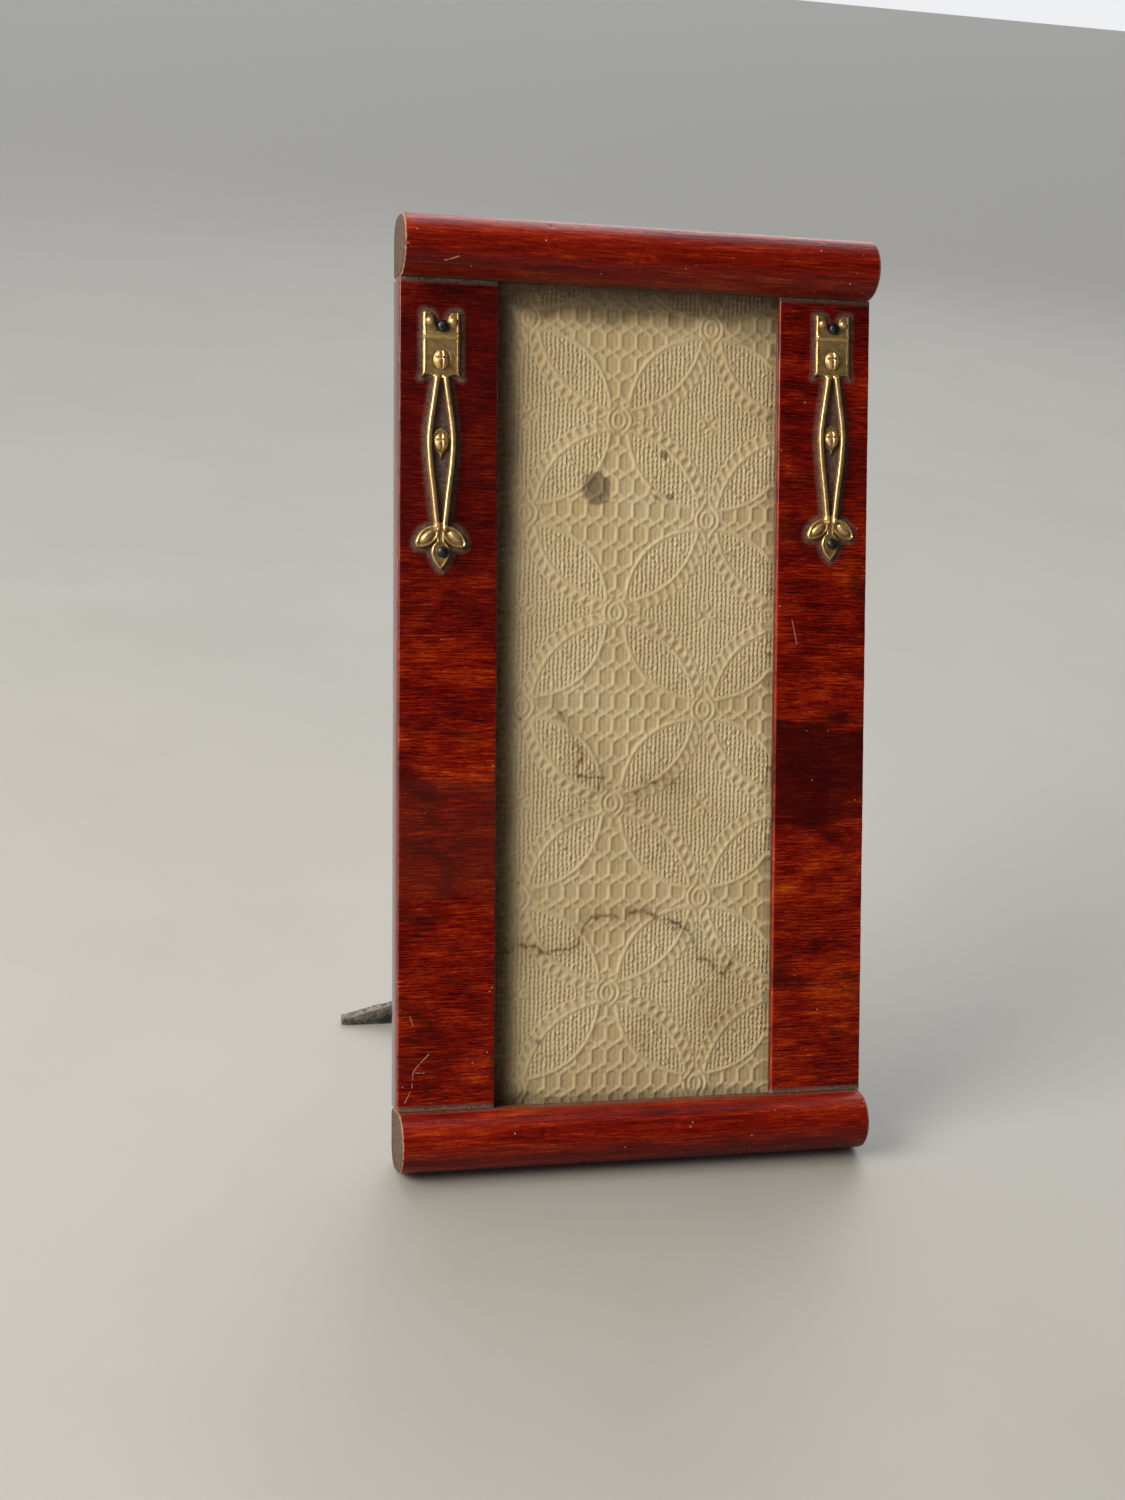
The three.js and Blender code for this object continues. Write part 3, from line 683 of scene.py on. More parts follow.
@dataclass(frozen=True)
class RailVarnish:
    """Dark red varnish over timber whose grain runs along the rail, with worn end grain."""

    space: Space
    half_length: float
    crease_low: float
    crease_high: float

    def material(self) -> Material:
        """Makes the finish."""
        f = Finish("rail_varnish", self.space)
        fibre = f.clouds((0.13, 2.1, 2.1), 7, 0.68, twist=0.3)
        fleck = f.clouds((0.7, 3.6, 3.6), 4, 0.62, shift=46)
        figure = f.clouds((0.02, 0.3, 0.3), 3, 0.5, shift=9, twist=0.8)
        tone = fibre * 0.48 + figure * 0.32
        tone = tone + fleck * 0.2
        wood = f.tones(tone, (0.37, "380502"), (0.46, "600b03"), (0.54, "7e1905"), (0.64, "a6420d"))
        pores = f.band(f.clouds((0.25, 5, 5), 2, 0.5, shift=31), 0.63, 0.7)
        wood = f.over(pores * 0.6, wood, "1d0201")
        across = f.calc("ABSOLUTE", f.x)
        ragged = (f.clouds((0.9, 0.9, 0.9), 5, 0.7, shift=3) - 0.5) * 2.6
        from_end = across + ragged - self.half_length
        end_grain = f.tones(
            f.clouds((0.5, 1.4, 1.4), 6, 0.7, shift=17), (0.3, "241c15"), (0.5, "453a30"), (0.7, "685b4e")
        )
        bare = f.band(across, self.half_length - 0.32, self.half_length - 0.18) * 0.95
        wood = f.over(bare, wood, end_grain)
        # Pale tan along the end's eased arris: rubbed wood with a painted highlight along the arris.
        arris = f.band(from_end, -0.75, -0.2) * f.band(across, self.half_length - 0.7,
            self.half_length - 0.3)
        arris = arris * (1.0 - bare)
        wood = f.over(arris * 0.8, wood, "9c7a5c")
        scratch = f.scratches((((-43.0, 190.9), (-40.9, 191.6)), ((-44.0, 190.7), (-43.0, 190.9))))
        wood = f.over(scratch * 0.8, wood, "d0a070")
        chips = f.specks(0.45, 0.1, shift=4)
        wood = f.over(chips * 0.75, wood, "c9a07c")
        scuffs = f.band(f.clouds((0.16, 2.2, 1.2), 4, 0.7, shift=44), 0.68, 0.74)
        wood = f.over(scuffs * 0.35, wood, "b4684a")
        height = f.calc("ABSOLUTE", f.z - (self.crease_low + self.crease_high) / 2)
        half = (self.crease_high - self.crease_low) / 2
        grit = f.clouds((1.2, 1.2, 1.2), 4, 0.7, shift=61)
        near = f.band(height, half + 0.9, half) * f.band(grit, 0.36, 0.62)
        near = near * f.band(f.y, -2.2, -0.2)
        wood = f.over(near * 0.7, wood, "5d5645")
        dull = f.clouds((0.2, 0.5, 0.5), 4, 0.6, shift=72) * 0.2 + 0.26
        gloss = dull + bare * 0.45
        return f.done(Base_Color=wood, Roughness=gloss, IOR=1.45, Specular_IOR_Level=0.16,
            Coat_Weight=0.12 - bare * 0.12, Coat_Roughness=0.09,
            Normal=f.bumps((fibre, 0.05), (figure, 0.25), (chips, -0.12), (scuffs, -0.03)))


@dataclass(frozen=True)
class CrossVeneer:
    """Red veneer whose short flecks run across the stile, with grime about the mounts."""

    space: Space
    inner: float
    outer: float
    low: float
    high: float
    scratched: tuple[tuple[Pair, Pair], ...] = (
        ((-45.6, 25.3), (-48.3, 22.5)), ((-48.3, 22.5), (-49.1, 21.3)), ((-49.1, 21.3), (-49.3, 18.1)),
        ((-49.1, 21.3), (-46.5, 21.2)), ((-49.8, 33.4), (-49.1, 31.3)), ((-50.9, 14.9), (-49.6, 17.4)),
        ((35.0, 118.0), (36.2, 112.5)),
    )

    def material(self) -> Material:
        """Makes the finish."""
        f = Finish("cross_veneer", self.space)
        fleck = f.clouds((0.16, 1.4, 2.9), 6, 0.66, twist=0.2)
        fine = f.clouds((0.7, 2.5, 6.5), 4, 0.62, shift=12)
        blotch = f.clouds((0.05, 0.1, 0.085), 4, 0.55, shift=2, twist=0.9)
        bands = f.clouds((0.02, 0.1, 0.3), 3, 0.6, shift=23, twist=0.5)
        tone = fleck * 0.44 + fine * 0.22
        tone = tone + blotch * 0.2
        tone = tone + bands * 0.14
        lift = f.band(f.z, self.high, self.low + 20) * 0.02
        tone = tone + lift
        wood = f.tones(
            tone, (0.41, "200100"), (0.46, "440301"), (0.515, "6c0b02"), (0.57, "902504"), (0.635, "b84e0c")
        )
        dark = f.band(f.clouds((0.035, 0.1, 0.06), 3, 0.6, shift=52, twist=1.2), 0.55, 0.68)
        wood = f.over(dark * 0.6, wood, "2e0603")
        left = f.band(f.x, 1.0, -1.0)
        shade = left * f.band(f.z, 95, 150) * 0.6
        wood = f.over(shade, wood, "2c0405")
        wood = f.over(self.zone(f, 85, 11, f.band(f.x, -1, 1)) * 0.75, wood, "300201")
        wood = f.over(self.zone(f, 70, 13, left) * 0.5, wood, "4a1a12")
        # Lighter red along the eased arrises: rubbed wear with a painted highlight along each arris.
        across = f.calc("ABSOLUTE", f.x)
        worn = f.band(f.clouds((0.3, 0.3, 0.3), 5, 0.7, shift=8), 0.4, 0.6)
        inner = f.band(across, self.inner + 0.55, self.inner + 0.2) * worn
        outer = f.band(across, self.outer - 0.5, self.outer - 0.2) * worn
        edge = f.calc("MAXIMUM", inner, outer * 0.4)
        wood = f.over(edge * 0.4, wood, "9a3f28")
        grit = f.clouds((1.5, 1.5, 1.5), 5, 0.7, shift=33)
        from_end = f.calc("MINIMUM", f.z - self.low, self.high - f.z)
        creased = f.band(from_end, 1.5, 0.3) * f.band(grit, 0.26, 0.5)
        grime = f.mark("grime") * f.band(grit, 0.1, 0.52)
        dust = f.calc("MAXIMUM", creased * 0.8, grime * 0.88, clamp=True)
        wood = f.over(dust, wood, f.tones(grit, (0.35, "3f352d"), (0.6, "766c5d")))
        scratches = f.scratches(self.scratched)
        wood = f.over(scratches * 0.55, wood, "c8957c")
        specks = f.specks(0.34, 0.07, shift=14)
        wood = f.over(specks * 0.6, wood, "cfa68e")
        gloss = f.clouds((0.2, 0.4, 0.4), 4, 0.6, shift=5) * 0.16 + 0.16
        gloss = gloss + dust * 0.5
        return f.done(Base_Color=wood, Roughness=gloss, IOR=1.45, Specular_IOR_Level=0.32,
            Coat_Weight=0.24 - dust * 0.24, Coat_Roughness=0.08,
            Normal=f.bumps((fleck, 0.03), (blotch, 0.3), (scratches, -0.04), (grime * grit, 0.1)))

    @staticmethod
    def zone(f: Finish, height: float, reach: float, side: Signal) -> Signal:
        """A ragged darker zone across one stile."""
        away = f.calc("ABSOLUTE", f.z - height)
        ragged = (f.clouds((0.06, 0.3, 0.25), 5, 0.65, shift=64) - 0.5) * 34.0
        return side * f.band(away + ragged, reach + 3, reach - 3)


@dataclass(frozen=True)
class StileTimber:
    """Timber with upright grain: varnished red on its sides and brown behind."""

    space: Space
    inner: float
    outer: float

    def material(self) -> Material:
        """Makes the finish."""
        f = Finish("stile_core", self.space)
        fibre = f.clouds((1.8, 1.8, 0.06), 7, 0.66, twist=0.3)
        figure = f.clouds((0.3, 0.3, 0.02), 3, 0.5, shift=4, twist=0.8)
        tone = fibre * 0.6 + figure * 0.4
        brown = f.tones(tone, (0.36, "3a1f10"), (0.48, "6b4224"), (0.58, "8a5a34"), (0.7, "a97a4c"))
        red = f.tones(tone, (0.36, "240201"), (0.48, "480502"), (0.6, "6c1205"), (0.7, "8a2a0e"))
        across = f.calc("ABSOLUTE", f.x)
        side = f.calc("MAXIMUM", f.band(across, self.outer - 0.5, self.outer - 0.1),
                      f.band(across, self.inner + 0.4, self.inner + 0.2))
        stain = f.band(f.clouds((0.1, 0.1, 0.04), 4, 0.6, shift=19), 0.4, 0.62)
        wood = f.over(f.calc("MAXIMUM", side, stain * 0.35), brown, red)
        grit = f.band(f.clouds((1.3, 1.3, 1.3), 4, 0.7, shift=6), 0.58, 0.75)
        wood = f.over(grit * 0.4, wood, "8f8577")
        gloss = 0.62 - side * 0.48
        return f.done(Base_Color=wood, Roughness=gloss, IOR=1.5, Coat_Weight=side * 0.5,
            Coat_Roughness=0.1, Normal=f.bumps((fibre, 0.08), (figure, 0.2)))


@dataclass(frozen=True)
class PlainTimber:
    """Bare timber with grain up the piece, for the dowels and the back board."""

    space: Space
    name: str
    dark: str
    middle: str
    pale: str
    fineness: float = 1.6

    def material(self) -> Material:
        """Makes the finish."""
        f = Finish(self.name, self.space)
        n = self.fineness
        fibre = f.clouds((n, n, 0.05 * n), 7, 0.68, twist=0.25)
        figure = f.clouds((0.1 * n, 0.1 * n, 0.008 * n), 3, 0.5, shift=7, twist=1.4)
        rings = f.calc("FRACT", figure * 9.0)
        tone = fibre * 0.66 + rings * 0.2
        tone = tone + figure * 0.14
        wood = f.tones(tone, (0.3, self.dark), (0.47, self.middle), (0.64, self.pale))
        stain = f.band(f.clouds((0.05, 0.05, 0.05), 5, 0.65, shift=40), 0.48, 0.7)
        wood = f.over(stain * 0.45, wood, self.dark)
        wood = f.over(f.specks(0.3, 0.12, shift=3) * 0.6, wood, "2a2018")
        return f.done(Base_Color=wood, Roughness=fibre * 0.2 + 0.58,
            Normal=f.bumps((fibre, 0.12), (figure, 0.2)))


@dataclass(frozen=True)
class PaneGlass:
    """Old clear glass, clear face on and bright at a grazing angle, with a thin film of dust."""

    space: Space

    def material(self) -> Material:
        """Makes the finish."""
        f = Finish("glass", self.space)
        film = f.clouds((0.08, 0.5, 0.05), 6, 0.7)
        film = f.band(film, 0.42, 0.72) * 0.02
        motes = f.specks(0.45, 0.06, shift=9) * 0.3
        mirror = Signal(f, f.add("ShaderNodeLayerWeight", Blend=0.2).outputs["Fresnel"])
        clear = f.calc("ADD", mirror * 0.3, film + motes, clamp=True)
        return f.done(Base_Color=f.over(motes * 2.0, "b9bfae", "e8e2d0"), Alpha=clear + 0.005,
            Roughness=film * 3.0 + 0.04, IOR=1.5,
            Normal=f.bumps((f.clouds((0.03, 0.03, 0.03), 2, 0.5, shift=7), 0.1)))


@dataclass(frozen=True)
class EmbossedPaper:
    """Aged cream paper: painted highlights on its crests and painted shade in its hollows, tide lines, ink,
    and a dusty head with painted shade under the rail and along the edges.
    """

    space: Space
    tilt: float = math.radians(0.77)
    rib: float = 0.97
    bead: float = 1.15

    def material(self) -> Material:
        """Makes the finish."""
        f = Finish("embossed_paper", self.space)
        pulp = f.clouds((0.9, 0.9, 0.9), 6, 0.7)
        cloudy = f.clouds((0.045, 0.045, 0.045), 4, 0.6, shift=8)
        paper = f.tones(cloudy, (0.3, "d2b78a"), (0.5, "e0c797"), (0.72, "ead5aa"))
        paper = f.over(f.band(pulp, 0.35, 0.75) * 0.3, paper, "bd9f70")
        relief = f.mark("relief")
        knit = self.knit(f)
        height = knit * f.mark("knit")
        # Painted highlight on the raised crests and the knit's beads, and painted shade in the low places.
        paper = f.over(f.band(relief, 0.25, 0.9) * 0.2, paper, "f3e2bc")
        paper = f.over(height * 0.22, paper, "f3e2bc")
        paper = f.over(f.band(relief, 0.3, 0.0) * 0.25, paper, "ab9062")
        stain = f.mark("stain") * f.band(pulp, 0.2, 0.6)
        paper = f.over(stain, paper, "735226")
        paper = f.over(f.mark("ink") * 0.62, paper, "40261f")
        # The dust mark: brown dust at the head with painted shade under the top rail, along the side edges
        # and along the foot.
        paper = f.over(f.mark("dust") * 0.9, paper,
            f.tones(f.clouds((0.25, 0.25, 1.1), 5, 0.65, shift=5), (0.35, "412d1b"), (0.55, "644a2e"),
            (0.7, "8c7050")))
        foxing = f.specks(0.25, 0.1, shift=27)
        paper = f.over(foxing * 0.55, paper, "604a2c")
        return f.done(Base_Color=paper, Roughness=0.86, Specular_IOR_Level=0.25,
                      Normal=f.bumps((height, 0.22), (pulp, 0.12),
                                     (f.clouds((3, 3, 3), 3, 0.6, shift=2), 0.06)))

    def knit(self, f: Finish) -> Signal:
        """Upright ribs broken into beads, a little uneven."""
        wander = f.clouds((0.35, 0.35, 0.35), 3, 0.6, shift=70) * 0.9
        across = f.x - f.z * math.tan(self.tilt) + wander
        column = f.calc("FLOOR", across / self.rib)
        rib = f.calc("SINE", across * (2 * math.pi / self.rib))
        steps = f.add("ShaderNodeTexWhiteNoise", W=column, settings={"noise_dimensions": "1D"})
        phase = Signal(f, steps.outputs["Value"])
        along = f.z * (2 * math.pi / self.bead) + phase * 6.3
        bead = f.calc("SINE", along + wander * 3.0)
        ribs = rib * 0.5 + 0.5
        return ribs * (bead * 0.36 + 0.6)


@dataclass(frozen=True)
class PulpCard:
    """Grey-brown pulp card."""

    space: Space

    def material(self) -> Material:
        """Makes the finish."""
        f = Finish("backing_card", self.space)
        pulp = f.clouds((1.2, 1.2, 1.2), 6, 0.7)
        card = f.tones(pulp, (0.3, "6f6553"), (0.5, "938972"), (0.7, "aba18a"))
        card = f.over(f.specks(0.6, 0.12) * 0.6, card, "4e4638")
        return f.done(Base_Color=card, Roughness=0.9, Normal=f.bumps((pulp, 0.1)))


@dataclass(frozen=True)
class AgedBrass:
    """Yellow brass, brown in its hollows, and pale on its crests with rubbed wear and a painted highlight."""

    space: Space

    def material(self) -> Material:
        """Makes the finish."""
        f = Finish("aged_brass", self.space)
        patina = f.clouds((0.7, 0.7, 0.7), 6, 0.7)
        fine = f.clouds((4, 4, 4), 4, 0.65, shift=5)
        tone = patina * 0.75 + fine * 0.25
        brass = f.tones(tone, (0.32, "917140"), (0.48, "c29e62"), (0.64, "ddbc84"))
        hollow = f.mark("hollow")
        tarnish = f.band(hollow, 0.25, 0.8) * f.band(patina, 0.2, 0.6)
        spots = f.band(f.clouds((0.5, 0.5, 0.5), 6, 0.75, shift=21), 0.56, 0.68)
        dark = f.calc("MAXIMUM", tarnish * 0.85, spots * 0.45)
        brass = f.over(dark, brass, "2c1d0f")
        rub_and_highlight = f.mark("rub_and_highlight")
        # Pale pink over the high places and edges: rubbed brass with a painted highlight.
        brass = f.over(rub_and_highlight * 0.5, brass, "f0c8a0")
        gloss = dark * 0.4 + patina * 0.3
        return f.done(Base_Color=brass, Metallic=0.85 - dark * 0.35, Roughness=gloss + 0.22,
            Normal=f.bumps((patina, 0.06), (fine, 0.02)))


@dataclass(frozen=True)
class DarkIron:
    """Blackened iron with a little rust."""

    space: Space

    def material(self) -> Material:
        """Makes the finish."""
        f = Finish("iron", self.space)
        scale = f.clouds((1.6, 1.6, 1.6), 6, 0.7)
        iron = f.tones(scale, (0.3, "17181a"), (0.52, "34363a"), (0.7, "5c5f63"))
        rust = f.band(f.clouds((1, 1, 1), 5, 0.7, shift=13), 0.54, 0.66)
        iron = f.over(rust * 0.6, iron, "4d2a18")
        return f.done(Base_Color=iron, Metallic=0.9 - rust * 0.5, Roughness=scale * 0.35 + 0.2,
            Normal=f.bumps((scale, 0.06)))


@dataclass(frozen=True)
class StrutCloth:
    """Black-green book cloth over board, its weave showing and its edges rubbed to grey fibre."""

    space: Space
    threads: float = 2.6

    def material(self) -> Material:
        """Makes the finish."""
        f = Finish("strut_cloth", self.space)
        turn = 2 * math.pi * self.threads
        wobble = f.clouds((0.4, 0.4, 0.4), 3, 0.6, shift=3) * 1.2
        warp = f.calc("SINE", f.x * turn + wobble)
        weft = f.calc("SINE", f.z * turn + wobble)
        weave = warp * weft * 0.5 + 0.5
        shade = f.clouds((0.12, 0.12, 0.12), 5, 0.65)
        cloth = f.tones(shade, (0.3, "0a0c0c"), (0.5, "141817"), (0.72, "242927"))
        cloth = f.over(weave * 0.35, cloth, "39403d")
        ragged = f.clouds((0.5, 0.5, 0.5), 6, 0.75, shift=11)
        wear = f.calc("MULTIPLY", f.mark("wear"), f.band(ragged, 0.34, 0.58), clamp=True)
        fibre = f.tones(f.clouds((1.5, 1.5, 0.6), 5, 0.7, shift=8), (0.3, "47433d"), (0.6, "7b7569"))
        cloth = f.over(wear, cloth, fibre)
        lint = f.band(f.clouds((0.8, 0.8, 4), 5, 0.7, shift=29), 0.66, 0.74)
        cloth = f.over(lint * 0.4, cloth, "7f837d")
        return f.done(Base_Color=cloth, Roughness=0.82, Specular_IOR_Level=0.35,
                      Normal=f.bumps((weave, 0.06), (ragged, 0.12)))


@dataclass(frozen=True)
class BenchTop:
    """A pale, plain, slightly rubbed table top."""

    space: Space

    def material(self) -> Material:
        """Makes the finish."""
        f = Finish("bench_top", self.space)
        rub = f.clouds((0.01, 0.01, 0.01), 5, 0.6)
        grey = f.tones(rub, (0.3, "8d8a83"), (0.7, "93908a"))
        return f.done(Base_Color=grey, Roughness=rub * 0.1 + 0.42)


# ---- Geometry Nodes --------------------------------------------------------------------------


class Recipe(Tree):
    """A Geometry Nodes tree with named inputs, run once on a starting mesh."""

    def __init__(self, name: str, inputs: dict[str, tuple[str, object]]) -> None:
        """Starts the tree.

        Args:
            name: The tree's name.
            inputs: Each input's name with its socket type and value.
        """
        super().__init__(bpy.data.node_groups.new(name, "GeometryNodeTree"))
        face = self.tree.interface
        face.new_socket("Geometry", in_out="INPUT", socket_type="NodeSocketGeometry")
        face.new_socket("Geometry", in_out="OUTPUT", socket_type="NodeSocketGeometry")
        self.values = {}
        for label, (kind, value) in inputs.items():
            socket = face.new_socket(label, in_out="INPUT", socket_type=kind)
            self.values[socket.identifier] = value
        inlet = self.tree.nodes.new("NodeGroupInput")
        self.given = {socket.name: Signal(self, socket) for socket in inlet.outputs}

    def finish(self, geometry: Socket) -> None:
        """Ends the tree in Realize Instances and Set Material."""
        real = self.add("GeometryNodeRealizeInstances", geometry)
        dressed = self.add("GeometryNodeSetMaterial", real.outputs[0], None, self.given["Material"])
        self.add("NodeGroupOutput", dressed.outputs[0])

    def made(self, name: str, start: Mesh, space: Space, sharp: float = 40) -> Thing:
        """Runs the tree and keeps its result as a plain mesh.

        Args:
            name: The piece's name.
            start: The mesh that the tree starts from, in millimetres.
            space: The space of those millimetres.
            sharp: Edges bent by more degrees than this stay crisp.

        Returns:
            The finished piece, at the origin.
        """
        holder = shown(name + "_start", start)
        modifier = holder.modifiers.new("recipe", "NODES")
        modifier.node_group = self.tree
        for identifier, value in self.values.items():
            modifier[identifier] = value
        seen = holder.evaluated_get(bpy.context.evaluated_depsgraph_get())
        mesh = bpy.data.meshes.new_from_object(seen)
        mesh.name = name
        bpy.data.objects.remove(holder)
        placing = Matrix.Translation(space.origin) @ space.turn.to_4x4() @ Matrix.Scale(MM, 4)
        mesh.transform(placing)
        return smoothed(mesh, name, sharp)


def seats(points: Iterable[tuple[float, float, float]]) -> Mesh:
    """A mesh of loose points, one for each fastening."""
    mesh = bpy.data.meshes.new("seats")
    mesh.from_pydata([tuple(point) for point in points], [], [])
    return mesh


@dataclass
class Fastening:
    """A row of like pins, rivets or screws set on points.

    Attributes:
        radius: The head's radius.
        height: The head's height.
        front: Whether the heads face the front.
        slot: Width of a driver's slot across the head, or 0.
        wobble: How much the heads differ in turn, in radians.
    """

    radius: float
    height: float
    front: bool
    slot: float = 0
    wobble: float = 0.3
    seed: int = 5

    def head(self) -> Thing:
        """One head about its seat: a low dome with a rolled rim, hammered and slotted."""
        half = self.slot / 2

        def above(x: Grid, z: Grid) -> Grid:
            """Height of the head above its seat."""
            share = np.clip(np.hypot(x, z) / self.radius, 0, 1)
            rise = self.height * np.sqrt(np.clip(1 - share**2.2, 0, 1)) * 0.92 + self.height * 0.08
            dings = 0.03 * mottle(self.seed, x * 1.6, z * 1.6)
            cut = smooth(np.abs(z), half + 0.06, half - 0.02) if self.slot else 0
            return np.maximum(rise - dings - 0.55 * self.height * cut - 0.03, 0.02)

        r = self.radius
        sheet = Sheet(lambda x, z: np.hypot(x, z) - r, (-r, -r), (r, r), r / 12)
        way = -1 if self.front else 1
        draft = sheet.draft(lambda x, z: way * above(x, z), level(0))
        plain = Space(Vector((0, 0, 0)), Vector((0, 1, 0)), Vector((0, 0, 1)))
        blank = bpy.data.materials.new("blank")
        return Draft(draft.points / MM, draft.faces).raised("head", plain, blank, 35)

    def set(
        self, name: str, points: Iterable[tuple[float, float, float]], space: Space,
        finish: Material, turns: Pair = (0, 0),
    ) -> Thing:
        """Sets one head on each point.

        Args:
            name: The piece's name.
            points: The seats.
            space: The space of the points.
            finish: The heads' material.
            turns: Least and most turn about the head's axis, in radians.

        Returns:
            All the heads as one piece.
        """
        head = self.head()
        recipe = Recipe("heads_on_points", {
            "Head": ("NodeSocketObject", head),
            "Least Turn": ("NodeSocketVector", (0.0, turns[0] - self.wobble, 0.0)),
            "Most Turn": ("NodeSocketVector", (0.0, turns[1] + self.wobble, 0.0)),
            "Seed": ("NodeSocketInt", self.seed),
            "Material": ("NodeSocketMaterial", finish),
        })
        given = recipe.given
        info = recipe.add("GeometryNodeObjectInfo", given["Head"])
        turn = recipe.add("FunctionNodeRandomValue", given["Least Turn"], given["Most Turn"],
                          settings={"data_type": "FLOAT_VECTOR"}, Seed=given["Seed"])
        spread = recipe.add("GeometryNodeMeshToPoints", given["Geometry"])
        placed = recipe.add(
            "GeometryNodeInstanceOnPoints", spread.outputs[0], Instance=info.outputs["Geometry"],
            Rotation=recipe.add("FunctionNodeEulerToRotation", turn.outputs[0]).outputs[0],
        )
        recipe.finish(placed.outputs[0])
        piece = recipe.made(name, seats(points), space, 35)
        bpy.data.objects.remove(head)
        return piece


# ---- Sub-assemblies --------------------------------------------------------------------------


@dataclass
class Layout:
    """What every sub-assembly shares.

    Attributes:
        lean: The frame's leaning space.
        swing: The strut's space.
    """

    frame: dict
    lean: Space
    swing: Space

    def box(self, node: str, space: Space | None = None) -> tuple[Grid, Grid]:
        """A CAD node's lowest and highest corners in a space."""
        return (space or self.lean).box(self.frame["nodes"][node])

    def pivot(self, joint: str) -> Grid:
        """A joint's place in the leaning space."""
        found = next(item for item in self.frame["joints"] if item["name"] == joint)
        return (np.array(found["pos_m"]) - np.array(self.lean.origin)) @ np.array(self.lean.turn) / MM


def deliver(piece: Thing, body: str, slot: str, *nodes: str) -> None:
    """Hands a finished piece to its body, hides its CAD nodes, and reports it."""
    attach(piece, body)
    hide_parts(*nodes)
    LOG.info("%s rides on %s, %d faces", piece.name, body, len(piece.data.polygons))


